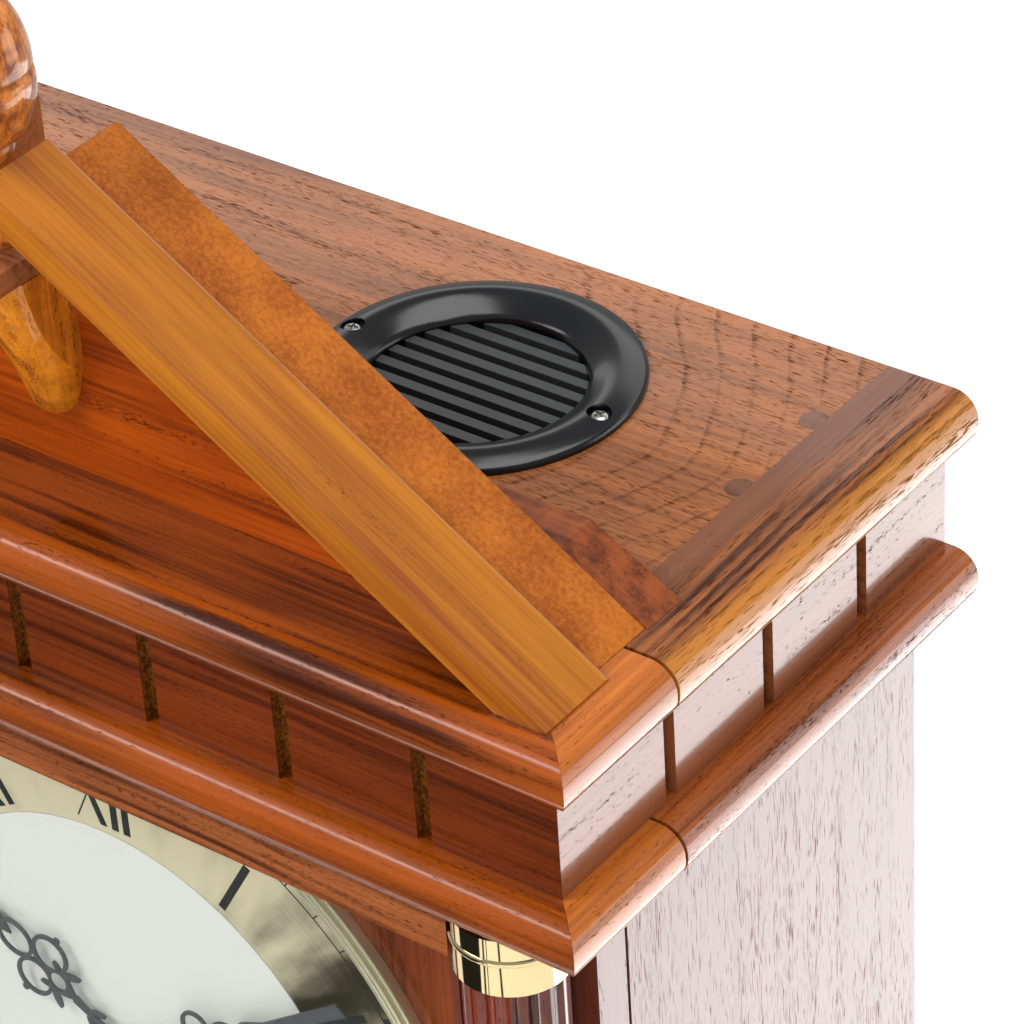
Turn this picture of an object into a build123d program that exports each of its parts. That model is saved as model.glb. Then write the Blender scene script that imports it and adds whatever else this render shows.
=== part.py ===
from build123d import *
import os
from math import cos, pi, radians, sin, sqrt

os.makedirs("parts", exist_ok=True)

# Mantel clock in the form of a small temple front: a pediment with a turned
# finial over a notched frieze, a glazed dial between fluted corner columns,
# a chime speaker in the top and a battery movement behind a hinged back door.
# Millimetres. +X is to the right seen from the front, +Y to the back, +Z up.
# The origin is on the surface the clock stands on, below the outline's middle.

# ---------------------------------------------------------------- heights
foot_height = 5.0
plinth_height = 22.0
base_thickness = 15.0
case_height = 239.0
cornice_thickness = 15.0
frieze_height = 31.0
deck_thickness = 15.0

plinth_z = foot_height
base_z = plinth_z + plinth_height
case_z = base_z + base_thickness
cornice_z = case_z + case_height
frieze_z = cornice_z + cornice_thickness
deck_z = frieze_z + frieze_height
top_z = deck_z + deck_thickness

# ------------------------------------------------------------------- plan
frieze_half_width = 158.0
side_inset = 8.7
deck_overhang = 9.2
cornice_overhang = 9.6
base_overhang = 9.6
edge_board_width = 17.7
edge_radius = 7.0
joint_depth = 34.0
joint_gap = 1.0

# The deck behind the pediment is as deep as the speaker's grille needs.
pediment_depth = 55.0
grille_radius = 42.35
grille_front_gap = 5.95
grille_back_gap = 14.35

case_depth = pediment_depth + grille_front_gap + 2 * grille_radius + grille_back_gap
face_y = (cornice_overhang - case_depth) / 2
back_y = face_y + case_depth
case_half_width = frieze_half_width - side_inset
joint_front_y = face_y + joint_depth - joint_gap / 2
joint_back_y = joint_front_y + joint_gap

# ------------------------------------------------------- frieze and plinth
frieze_thickness = 12.0
kerf_pitch = 40.0
kerf_width = 4.2
kerf_depth = 3.0
front_kerfs = 7
side_kerfs = 3
side_kerf_start = 42.3
plinth_thickness = 18.0
foot_radius = 8.0

# -------------------------------------------------- front frame and columns
column_inset = 12.2
column_x = case_half_width - column_inset
column_y = face_y + 7.5
shaft_radius = 12.5
tenon_radius = 8.0
cap_radius = 14.3
cap_bead_radius = 14.8
cap_lower_band = 8.5
cap_bead_height = 2.0
cap_upper_band = 5.7
flute_count = 16
flute_radius = 2.1
flute_depth = 1.3
column_clearance = 0.1

stile_width = 29.8
opening_half_width = case_half_width - stile_width
stile_front_y = face_y + 5.0
stile_depth = 28.6
rail_front_y = face_y - 3.0
top_rail_height = 14.1
bottom_rail_height = 8.5
arris = 0.5

panel_thickness = 12.0
panel_joint_width = 1.0
panel_joint_depth = 3.0

glass_y = face_y + 9.0
glass_thickness = 2.4
glass_clearance = 0.2
glass_groove_depth = 2.5

# ------------------------------------------------------------- dial and hands
dial_board_y = face_y + 19.2
dial_board_thickness = 9.0
recess_radius = 118.3
recess_depth = 1.5
chapter_radius = 103.3
chapter_face_y = face_y + 18.3
centre_radius = 72.0
centre_face_y = face_y + 18.0
dial_fit = 0.1
bezel_inner_radius = chapter_radius + dial_fit
bezel_width = 6.4
bezel_height = 4.4
hand_thickness = 0.7
hour_hand_y = face_y + 15.3
minute_hand_y = face_y + 13.2
hour_hand_angle = 302.3
minute_hand_angle = 55.5
hour_hand_length = 61.0
minute_hand_length = 93.5

dial_z = case_z + case_height / 2
notch_x = column_x - cap_bead_radius - column_clearance
stile_back_wall_y = column_y + cap_bead_radius + column_clearance
stile_back_y = stile_front_y + stile_depth
recess_floor_y = dial_board_y + recess_depth
dial_board_back_y = dial_board_y + dial_board_thickness

# ---------------------------------------------------------- pediment and deck
rake_slope = 0.6162
rake_thickness = 7.7
rake_inset = 1.0
rake_end_x = frieze_half_width - rake_inset
rake_end_height = 0.5
rake_upper_x = 9.15
rake_front_y = face_y - 0.7
rake_edge_radius = 2.0
tympanum_setback = 23.4
tympanum_front_y = face_y + tympanum_setback
tympanum_thickness = 18.5
tympanum_drop = 2.9
tympanum_upper_x = 11.8
backing_thickness = pediment_depth - tympanum_setback - tympanum_thickness
backing_height = 13.0
backing_inset = 4.0
backing_ramp = 24.0
backing_end_x = frieze_half_width - backing_inset
backing_flat_x = backing_end_x - backing_ramp
strip_width = 7.45
plug_radius = 3.75
plug_depth = 5.0
plug_insets = [(2.2, 29.2), (1.6, 61.7)]

# ------------------------------------------------------- corbel and finial
corbel_half_width = 9.6
corbel_foot_z = 16.0
abacus_z = 61.0
abacus_height = 9.5
abacus_half_width = 13.75
abacus_front_y = face_y - 6.0
abacus_step = 2.6
abacus_lower_height = 5.0
abacus_ovolo = 3.0
finial_y = face_y + 11.3

# ------------------------------------------------------------------ speaker
speaker_x = 60.15
speaker_y = back_y - grille_back_gap - grille_radius
grille_bore_radius = 27.5
grille_wall = 1.4
grille_clearance = 0.1
grille_height = 3.5
grille_tube_depth = 6.0
slat_count = 10
slat_pitch = 2 * grille_bore_radius / slat_count
slat_width = 0.55 * slat_pitch
slat_depth = 2.5
slat_top = -1.6
grille_lip_z = -1.2
grille_screw_radius = 37.1
screw_head_radius = 2.4
screw_head_height = 1.3
screw_recess_radius = 3.1
screw_seat_z = 1.4
screw_shank_radius = 1.4
screw_length = 11.0
speaker_flange_radius = 41.0
speaker_flange = 2.0
basket_depth = 15.0
basket_wall = 1.2
magnet_radius = 20.0
magnet_height = 10.0
cone_radius = 31.0
cone_neck_radius = 9.0

# ----------------------------------------------------------------- movement
movement_half_width = 65.0
movement_above = 48.0
movement_below = 80.0
movement_depth = 36.0
movement_wall = 2.0
bay_height = 31.0
cover_thickness = 2.0
hub_radius = 6.4
hub_hole_radius = 6.5
hour_tube_radius = 3.2
arbor_radius = 2.1
pivot_radius = 1.2
running_gap = 0.06
gear_spacing = 12.0
minute_module = 0.5
hour_module = 0.48
cannon_teeth = 12
motion_teeth = 36
motion_pinion_teeth = 10
hour_teeth = 40
drive_teeth = 40
drive_pinion_teeth = 10
plate_y = 26.0
plate_thickness = 2.0
lug_size = 10.0
lug_thickness = 4.0
lug_offset = 30.0
case_screw_radius = 1.5
case_screw_head_radius = 3.0
case_screw_head = 1.8
case_screw_bite = 6.0
battery_radius = 13.1
battery_length = 50.0
knob_radius = 9.0
knob_length = 8.0
volume_x = 29.0 - movement_half_width
switch_x = movement_half_width - 27.0
control_height = 24.0
switch_travel = 4.0

# -------------------------------------------------------------- back and door
door_thickness = 6.0
door_clearance = 0.3
door_face_y = back_y - 4.5
hinge_radius = 1.8
hinge_pin_radius = 0.9
hinge_length = 30.0
hinge_inset = 50.0
leaf_thickness = 1.0
case_inner_x = case_half_width - panel_thickness


def save(builder, name):
    """Label a finished piece and write it as one file."""
    builder.part.label = name
    export_step(builder.part, f"parts/{name}.step")


def block(x, y, z, mode=Mode.ADD):
    """A squared board between two limits along each axis."""
    centre = ((x[0] + x[1]) / 2, (y[0] + y[1]) / 2, (z[0] + z[1]) / 2)
    with Locations(centre):
        Box(x[1] - x[0], y[1] - y[0], z[1] - z[0], mode=mode)


def facing(x, y, z):
    """An upright plane seen from the front, whose extrusions come forwards."""
    return Plane(origin=(x, y, z), x_dir=(1, 0, 0), z_dir=(0, -1, 0))


def save_group(solids, name):
    """Write pieces that belong together but stay separate solids as one file."""
    group = Compound(label=name, children=solids)
    export_step(group, f"parts/{name}.step")


# ===================================================== mitred edge boards
def front_board(z, thickness, overhang):
    """Front board with mitred corners and a bullnose along its front edge."""
    outer_x = frieze_half_width + overhang
    outer_y = face_y - overhang
    inner_x = outer_x - edge_board_width
    mitre_y = outer_y + edge_board_width
    with BuildPart() as board:
        with BuildSketch(Plane.XY.offset(z)):
            with BuildLine():
                Polyline(
                    (outer_x, outer_y),
                    (inner_x, mitre_y),
                    (inner_x, joint_front_y),
                    (-inner_x, joint_front_y),
                    (-inner_x, mitre_y),
                    (-outer_x, outer_y),
                    close=True,
                )
            make_face()
        extrude(amount=thickness)
        fillet(board.edges().filter_by(Axis.X).group_by(Axis.Y)[0], edge_radius)
    return board


def return_boards(z, thickness, overhang):
    """Short mitred pieces that carry the bullnose round both corners."""
    outer_x = frieze_half_width + overhang
    outer_y = face_y - overhang
    inner_x = outer_x - edge_board_width
    with BuildPart() as pair:
        with BuildSketch(Plane.XY.offset(z)):
            with BuildLine():
                Polyline(
                    (outer_x, outer_y),
                    (outer_x, joint_front_y),
                    (inner_x, joint_front_y),
                    (inner_x, outer_y + edge_board_width),
                    close=True,
                )
            make_face()
        extrude(amount=thickness)
        fillet(pair.edges().filter_by(Axis.Y).group_by(Axis.X)[-1], edge_radius)
        mirror(about=Plane.YZ)
    return pair


def side_boards(z, thickness, overhang, start_y, mitred):
    """Side boards with the same bullnose, running to the back edge."""
    outer_x = frieze_half_width + overhang
    inner_x = outer_x - edge_board_width
    inner_start = start_y + edge_board_width if mitred else start_y
    with BuildPart() as pair:
        with BuildSketch(Plane.XY.offset(z)):
            with BuildLine():
                Polyline(
                    (outer_x, start_y),
                    (outer_x, back_y),
                    (inner_x, back_y),
                    (inner_x, inner_start),
                    close=True,
                )
            make_face()
        extrude(amount=thickness)
        fillet(pair.edges().filter_by(Axis.Y).group_by(Axis.X)[-1], edge_radius)
        mirror(about=Plane.YZ)
    return pair


def glass_groove(z):
    """Cut the groove that holds one edge of the glass, centred on height z."""
    half = opening_half_width
    limits_y = (glass_y - glass_clearance, glass_y + glass_thickness + glass_clearance)
    block((-half, half), limits_y, (z - glass_groove_depth, z + glass_groove_depth), Mode.SUBTRACT)


# ============================================================ feet and plinth
foot_x = frieze_half_width - plinth_thickness / 2
with BuildPart() as feet:
    with BuildSketch():
        with Locations(
            (foot_x, face_y + plinth_thickness / 2),
            (-foot_x, face_y + plinth_thickness / 2),
            (foot_x, back_y - plinth_thickness / 2),
            (-foot_x, back_y - plinth_thickness / 2),
        ):
            Circle(foot_radius)
    extrude(amount=foot_height)
    chamfer(feet.edges().group_by(Axis.Z)[0], 1.0)
save(feet, "feet")


def mitred_front(z, height, thickness):
    """Front board of a box frame, mitred at both ends."""
    inner_x = frieze_half_width - thickness
    with BuildPart() as board:
        with BuildSketch(Plane.XY.offset(z)):
            with BuildLine():
                Polyline(
                    (frieze_half_width, face_y),
                    (inner_x, face_y + thickness),
                    (-inner_x, face_y + thickness),
                    (-frieze_half_width, face_y),
                    close=True,
                )
            make_face()
        extrude(amount=height)
    return board


def mitred_sides(z, height, thickness):
    """Left and right boards of the same box frame, running to the back edge."""
    inner_x = frieze_half_width - thickness
    with BuildPart() as boards:
        with BuildSketch(Plane.XY.offset(z)):
            with BuildLine():
                Polyline(
                    (frieze_half_width, face_y),
                    (frieze_half_width, back_y),
                    (inner_x, back_y),
                    (inner_x, face_y + thickness),
                    close=True,
                )
            make_face()
        extrude(amount=height)
        mirror(about=Plane.YZ)
    return boards.part


def back_rail(z, height, thickness):
    """Plain board that closes the box frame between its sides."""
    inner_x = frieze_half_width - thickness
    with BuildPart() as board:
        block((-inner_x, inner_x), (back_y - thickness, back_y), (z, z + height))
    return board.part


plinth_front = mitred_front(plinth_z, plinth_height, plinth_thickness)
save(plinth_front, "plinth_front")
plinth_sides = mitred_sides(plinth_z, plinth_height, plinth_thickness)
plinth_back = back_rail(plinth_z, plinth_height, plinth_thickness)
save_group([*plinth_sides.solids(), *plinth_back.solids()], "plinth_rails")

# ================================================================ base boards
base_inner_x = frieze_half_width + base_overhang - edge_board_width
with BuildPart() as base_front:
    add(front_board(base_z, base_thickness, base_overhang).part)
    glass_groove(case_z)
save(base_front, "base_front")
base_sides = side_boards(base_z, base_thickness, base_overhang, face_y - base_overhang, True)
save(base_sides, "base_sides")
with BuildPart() as base_board:
    block((-base_inner_x, base_inner_x), (joint_front_y, back_y), (base_z, case_z))
save(base_board, "base_board")

# ============================================================ case and frame
with BuildPart() as side_panel_right:
    with BuildSketch(Plane.XY.offset(case_z)):
        with BuildLine():
            Polyline(
                (case_inner_x, stile_back_y),
                (case_half_width - panel_joint_depth, stile_back_y),
                (case_half_width - panel_joint_depth, stile_back_y + panel_joint_width),
                (case_half_width, stile_back_y + panel_joint_width),
                (case_half_width, back_y),
                (case_inner_x, back_y),
                close=True,
            )
        make_face()
    extrude(amount=case_height)
save(side_panel_right, "side_panel_right")

hinge_x = -(case_inner_x - hinge_radius - 0.2)
hinge_y = door_face_y + hinge_radius + 0.2
leaf_depth = 12.0
hinge_heights = [case_z + hinge_inset, cornice_z - hinge_inset]
with BuildPart() as side_panel_left:
    add(side_panel_right.part.mirror(Plane.YZ))
    for height in hinge_heights:
        block(
            (-case_inner_x - leaf_thickness, -case_inner_x),
            (hinge_y - leaf_depth, hinge_y + hinge_radius),
            (height - hinge_length / 2, height + hinge_length / 2),
            Mode.SUBTRACT,
        )
save(side_panel_left, "side_panel_left")

with BuildPart() as front_stiles:
    with BuildSketch(Plane.XY.offset(case_z)):
        with BuildLine():
            Polyline(
                (opening_half_width, stile_front_y),
                (notch_x, stile_front_y),
                (notch_x, stile_back_wall_y),
                (case_half_width, stile_back_wall_y),
                (case_half_width, stile_back_y),
                (opening_half_width, stile_back_y),
                close=True,
            )
        make_face()
    extrude(amount=case_height)
    front_edges = front_stiles.edges().filter_by(Axis.Z).group_by(Axis.Y)[0]
    chamfer(front_edges.sort_by(Axis.X)[0], arris)
    mirror(about=Plane.YZ)
save(front_stiles, "front_stiles")


def front_rail(bottom, height, arris_group):
    """Rail across the opening, scribed at each end to the column's cap."""
    with BuildPart() as rail:
        block((-column_x, column_x), (rail_front_y, stile_front_y), (bottom, bottom + height))
        for side in (-1, 1):
            with BuildSketch(Plane.XY.offset(bottom)):
                with Locations((side * column_x, column_y)):
                    Circle(cap_bead_radius + column_clearance)
            extrude(amount=height, mode=Mode.SUBTRACT)
        chamfer(rail.edges().filter_by(Axis.X).group_by(Axis.Y)[0].sort_by(Axis.Z)[arris_group], arris)
    return rail


top_rail = front_rail(cornice_z - top_rail_height, top_rail_height, 0)
save(top_rail, "top_rail")
bottom_rail = front_rail(case_z, bottom_rail_height, -1)
save(bottom_rail, "bottom_rail")

with BuildPart() as glass_pane:
    pane_half = opening_half_width - glass_clearance
    seat = glass_groove_depth - glass_clearance
    block(
        (-pane_half, pane_half),
        (glass_y, glass_y + glass_thickness),
        (case_z - seat, cornice_z + seat),
    )
save(glass_pane, "glass_pane")

# ============================================================= corner columns
shaft_bottom = case_z + cap_lower_band + cap_bead_height + cap_upper_band
shaft_top = cornice_z - cap_lower_band - cap_bead_height - cap_upper_band


def column(side):
    """Turned shaft with straight flutes and a tenon through each cap."""
    with BuildPart() as shaft:
        with BuildSketch(Plane.XY.offset(case_z)):
            with Locations((side * column_x, column_y)):
                Circle(tenon_radius)
        extrude(amount=case_height)
        with BuildSketch(Plane.XY.offset(shaft_bottom)):
            with Locations((side * column_x, column_y)):
                Circle(shaft_radius)
                with PolarLocations(shaft_radius + flute_radius - flute_depth, flute_count):
                    Circle(flute_radius, mode=Mode.SUBTRACT)
        extrude(amount=shaft_top - shaft_bottom)
    return shaft


column_left = column(-1)
save(column_left, "column_left")
column_right = column(1)
save(column_right, "column_right")


def cap(side, outer_z, direction):
    """Pressed brass ring: two plain bands with a rounded bead between them."""
    upper = outer_z + direction * cap_upper_band
    lower = upper + direction * cap_bead_height
    end = lower + direction * cap_lower_band
    with BuildPart() as ring:
        with BuildSketch(Plane(origin=(side * column_x, column_y, 0), z_dir=(0, -1, 0), x_dir=(1, 0, 0))):
            with BuildLine():
                Polyline((tenon_radius + 0.05, end), (tenon_radius + 0.05, outer_z), (cap_radius, outer_z))
                Line((cap_radius, outer_z), (cap_radius, upper))
                ThreePointArc(
                    (cap_radius, upper),
                    (cap_bead_radius, (upper + lower) / 2),
                    (cap_radius, lower),
                )
                Polyline((cap_radius, lower), (cap_radius, end), (tenon_radius + 0.05, end))
            make_face()
        revolve(axis=Axis((side * column_x, column_y, 0), (0, 0, 1)))
    return ring.part


with BuildPart() as column_caps:
    for side in (-1, 1):
        add(cap(side, cornice_z, -1))
        add(cap(side, case_z, 1))
save(column_caps, "column_caps")

# =================================================================== cornice
cornice_inner_x = frieze_half_width + cornice_overhang - edge_board_width
with BuildPart() as cornice_front:
    add(front_board(cornice_z, cornice_thickness, cornice_overhang).part)
    glass_groove(cornice_z)
save(cornice_front, "cornice_front")
cornice_sides = side_boards(cornice_z, cornice_thickness, cornice_overhang, joint_back_y, False)
save(cornice_sides, "cornice_sides")
with BuildPart() as cornice_board:
    block((-cornice_inner_x, cornice_inner_x), (joint_front_y, back_y), (cornice_z, frieze_z))
save(cornice_board, "cornice_board")

# ==================================================================== frieze
with BuildPart() as frieze_front:
    add(mitred_front(frieze_z, frieze_height, frieze_thickness).part)
    middle_z = frieze_z + frieze_height / 2
    for index in range(front_kerfs):
        with Locations(((index - (front_kerfs - 1) / 2) * kerf_pitch, face_y, middle_z)):
            Box(kerf_width, 2 * kerf_depth, frieze_height, mode=Mode.SUBTRACT)
save(frieze_front, "frieze_front")
with BuildPart() as frieze_sides:
    add(mitred_sides(frieze_z, frieze_height, frieze_thickness))
    for index in range(side_kerfs):
        for side in (-1, 1):
            kerf_y = face_y + side_kerf_start + index * kerf_pitch
            with Locations((side * frieze_half_width, kerf_y, middle_z)):
                Box(2 * kerf_depth, kerf_width, frieze_height, mode=Mode.SUBTRACT)
frieze_back = back_rail(frieze_z, frieze_height, frieze_thickness)
save_group([*frieze_sides.part.solids(), *frieze_back.solids()], "frieze_rails")

# ====================================================================== deck
deck_inner_x = frieze_half_width + deck_overhang - edge_board_width
board_half_x = deck_inner_x - strip_width
nosing_front = front_board(deck_z, deck_thickness, deck_overhang)
save(nosing_front, "nosing_front")
nosing_sides = side_boards(deck_z, deck_thickness, deck_overhang, joint_back_y, False)
save(nosing_sides, "nosing_sides")
with BuildPart() as corner_returns:
    add(return_boards(deck_z, deck_thickness, deck_overhang).part)
    add(return_boards(cornice_z, cornice_thickness, cornice_overhang).part)
save(corner_returns, "corner_returns")
with BuildPart() as top_strips:
    block((board_half_x, deck_inner_x), (joint_front_y, back_y), (deck_z, top_z))
    mirror(about=Plane.YZ)
save(top_strips, "top_strips")

plug_centres = []
for from_joint, from_back in plug_insets:
    plug_centres.append((board_half_x - from_joint, back_y - from_back))
    plug_centres.append((from_joint - board_half_x, back_y - from_back))
with BuildPart() as top_board:
    block((-board_half_x, board_half_x), (joint_front_y, back_y), (deck_z, top_z))
    with BuildSketch(Plane.XY.offset(top_z)):
        with Locations(*plug_centres):
            Circle(plug_radius)
    extrude(amount=-plug_depth, mode=Mode.SUBTRACT)
    with BuildSketch(Plane.XY.offset(top_z)):
        with Locations((speaker_x, speaker_y)):
            Circle(grille_bore_radius + grille_wall + grille_clearance)
    extrude(amount=-deck_thickness, mode=Mode.SUBTRACT)
    with BuildSketch(Plane.XY.offset(top_z)):
        with Locations(
            (speaker_x - grille_screw_radius, speaker_y),
            (speaker_x + grille_screw_radius, speaker_y),
        ):
            Circle(screw_shank_radius)
    extrude(amount=-screw_length, mode=Mode.SUBTRACT)
save(top_board, "top_board")
with BuildPart() as screw_plugs:
    with BuildSketch(Plane.XY.offset(top_z - plug_depth)):
        with Locations(*plug_centres):
            Circle(plug_radius)
        Rectangle(2 * board_half_x, 2 * case_depth, mode=Mode.INTERSECT)
    extrude(amount=plug_depth)
save(screw_plugs, "screw_plugs")

# ================================================================== pediment
rake_drop = rake_thickness * sqrt(1 + rake_slope**2)


def rake_z(x):
    """Height of the raking board's upper face at a distance from the middle."""
    return top_z + rake_end_height + rake_slope * (rake_end_x - x)


rake_foot_x = rake_end_x + (rake_end_height - rake_drop) / rake_slope
with BuildPart() as rake_strip_right:
    with BuildSketch(facing(0, tympanum_front_y, 0)):
        with BuildLine():
            Polyline(
                (rake_upper_x, rake_z(rake_upper_x)),
                (rake_end_x, rake_z(rake_end_x)),
                (rake_end_x, top_z),
                (rake_foot_x, top_z),
                (rake_upper_x, rake_z(rake_upper_x) - rake_drop),
                close=True,
            )
        make_face()
    extrude(amount=tympanum_front_y - rake_front_y)
    slope_face = rake_strip_right.faces().filter_by(lambda f: f.normal_at().Z > 0.5)[0]
    fillet(slope_face.edges().sort_by(Axis.Y)[-1], rake_edge_radius)
save(rake_strip_right, "rake_strip_right")
with BuildPart() as rake_strip_left:
    add(rake_strip_right.part.mirror(Plane.YZ))
save(rake_strip_left, "rake_strip_left")

tympanum_end_x = rake_end_x + (rake_end_height - tympanum_drop) / rake_slope
notch_z = top_z + abacus_z + abacus_height
with BuildPart() as tympanum:
    with BuildSketch(facing(0, tympanum_front_y + tympanum_thickness, 0)):
        with BuildLine():
            Polyline(
                (tympanum_end_x, top_z),
                (tympanum_upper_x, rake_z(tympanum_upper_x) - tympanum_drop),
                (tympanum_upper_x, notch_z),
                (-tympanum_upper_x, notch_z),
                (-tympanum_upper_x, rake_z(tympanum_upper_x) - tympanum_drop),
                (-tympanum_end_x, top_z),
                close=True,
            )
        make_face()
    extrude(amount=tympanum_thickness)
save(tympanum, "tympanum")

backing_y = tympanum_front_y + tympanum_thickness
with BuildPart() as backing_block:
    with BuildSketch(facing(0, backing_y + backing_thickness, 0)):
        with BuildLine():
            Polyline(
                (backing_end_x, top_z),
                (backing_flat_x, top_z + backing_height),
                (-backing_flat_x, top_z + backing_height),
                (-backing_end_x, top_z),
                close=True,
            )
        make_face()
    extrude(amount=backing_thickness)
save(backing_block, "backing_block")

# ========================================================= corbel and finial
corbel_top = top_z + abacus_z
with BuildPart() as corbel:
    with BuildSketch(Plane(origin=(0, tympanum_front_y, top_z), x_dir=(0, -1, 0), z_dir=(-1, 0, 0))):
        with BuildLine():
            Line((0, abacus_z), (18.6, abacus_z))
            Spline(
                (18.6, abacus_z),
                (17.8, 55.4),
                (14.8, 44.0),
                (9.8, 31.0),
                (7.0, 22.0),
                (0, corbel_foot_z),
                tangents=((0, -1), (-1, 0)),
            )
            Line((0, corbel_foot_z), (0, abacus_z))
        make_face()
    revolve(axis=Axis((0, tympanum_front_y, 0), (0, 0, 1)))
    block(
        (-corbel_half_width, corbel_half_width),
        (tympanum_front_y - 30, tympanum_front_y),
        (top_z, corbel_top),
        Mode.INTERSECT,
    )
save(corbel, "corbel")

with BuildPart() as abacus:
    lower_half = abacus_half_width - abacus_step
    block(
        (-lower_half, lower_half),
        (abacus_front_y + abacus_step, tympanum_front_y),
        (corbel_top, corbel_top + abacus_lower_height),
    )
    lower_edges = abacus.edges().group_by(Axis.Z)[0].sort_by(Axis.Y)[:-1]
    fillet(lower_edges, abacus_ovolo)
    block(
        (-abacus_half_width, abacus_half_width),
        (abacus_front_y, tympanum_front_y),
        (corbel_top + abacus_lower_height, corbel_top + abacus_height),
    )
save(abacus, "abacus")

finial_z = corbel_top + abacus_height
with BuildPart() as finial:
    with BuildSketch(Plane(origin=(0, finial_y, finial_z), x_dir=(1, 0, 0), z_dir=(0, -1, 0))):
        with BuildLine():
            Polyline((0, 0), (9.0, 0), (9.0, 1.6))
            Spline((9.0, 1.6), (6.2, 4.2), (4.2, 8.5), (3.5, 14.5), (4.4, 18.6))
            ThreePointArc((4.4, 18.6), (6.8, 21.4), (6.2, 23.6))
            Spline((6.2, 23.6), (8.7, 24.8), (11.8, 30.2), (13.5, 36.0), (13.3, 40.4))
            Polyline((13.3, 40.4), (12.7, 41.4), (13.3, 42.4))
            Spline((13.3, 42.4), (13.0, 46.5), (11.0, 53.5), (7.4, 59.4), (3.4, 63.4))
            Spline((3.4, 63.4), (2.5, 66.2), (0, 67.5), tangents=((-0.3, 1), (-1, 0)))
            Line((0, 67.5), (0, 0))
        make_face()
    revolve(axis=Axis((0, finial_y, 0), (0, 0, 1)))
save(finial, "finial")

# ====================================================================== dial
hour_tube_gap = 0.2
lug_x = movement_half_width + lug_size / 2
lug_heights = [dial_z + lug_offset, dial_z - lug_offset]
with BuildPart() as dial_board:
    with BuildSketch(facing(0, dial_board_back_y, dial_z)):
        Rectangle(2 * opening_half_width, case_height)
        Circle(hub_hole_radius, mode=Mode.SUBTRACT)
    extrude(amount=dial_board_thickness)
    with BuildSketch(facing(0, recess_floor_y, dial_z)):
        Circle(recess_radius)
    extrude(amount=recess_depth, mode=Mode.SUBTRACT)
    lip = dial_board.edges().filter_by(GeomType.CIRCLE).group_by(Axis.Y)[0]
    chamfer(lip, arris)
    with BuildSketch(facing(0, dial_board_back_y, 0)):
        for height in lug_heights:
            with Locations((lug_x, height), (-lug_x, height)):
                Circle(case_screw_radius)
    extrude(amount=case_screw_bite, mode=Mode.SUBTRACT)
save(dial_board, "dial_board")

with BuildPart() as chapter_ring:
    with BuildSketch(facing(0, recess_floor_y, dial_z)):
        Circle(chapter_radius)
        Circle(centre_radius + dial_fit, mode=Mode.SUBTRACT)
    extrude(amount=recess_floor_y - chapter_face_y)
save(chapter_ring, "chapter_ring")

with BuildPart() as centre_disc:
    with BuildSketch(facing(0, recess_floor_y, dial_z)):
        Circle(centre_radius)
        Circle(hour_tube_radius + hour_tube_gap, mode=Mode.SUBTRACT)
    extrude(amount=recess_floor_y - centre_face_y)
save(centre_disc, "centre_disc")

bezel_outer_radius = bezel_inner_radius + bezel_width
bead = 1.2
with BuildPart() as bezel:
    with BuildSketch(Plane(origin=(0, recess_floor_y, dial_z), x_dir=(1, 0, 0), z_dir=(0, 0, 1))):
        with BuildLine():
            inner_top = (bezel_inner_radius, -bezel_height + 1.4)
            ridge_start = (bezel_inner_radius + 2.6, -bezel_height + 0.4)
            ridge_end = (ridge_start[0] + bead, ridge_start[1])
            groove_start = (ridge_end[0], -bezel_height + 1.3)
            groove_end = (groove_start[0] + 0.6, groove_start[1])
            outer_end = (bezel_outer_radius, -bezel_height + 2.2)
            Polyline((bezel_inner_radius, 0), inner_top, ridge_start)
            ThreePointArc(ridge_start, (ridge_start[0] + bead / 2, -bezel_height), ridge_end)
            Polyline(ridge_end, groove_start, groove_end)
            ThreePointArc(groove_end, (groove_end[0] + 1.3, groove_end[1] - 0.4), outer_end)
            Polyline(outer_end, (bezel_outer_radius, 0), (bezel_inner_radius, 0))
        make_face()
    revolve(axis=Axis((0, 0, dial_z), (0, 1, 0)))
save(bezel, "bezel")

# ===================================================================== hands
ring_radius = 6.2
ring_line = 1.2
ring_place = 32.2
ring_offset = 6.0


def hand_plane(y, angle):
    """Plane whose +X runs along a hand that stands at a clock angle."""
    turn = radians(angle)
    return Plane(origin=(0, y, dial_z), x_dir=(sin(turn), 0, cos(turn)), z_dir=(0, -1, 0))


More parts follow.
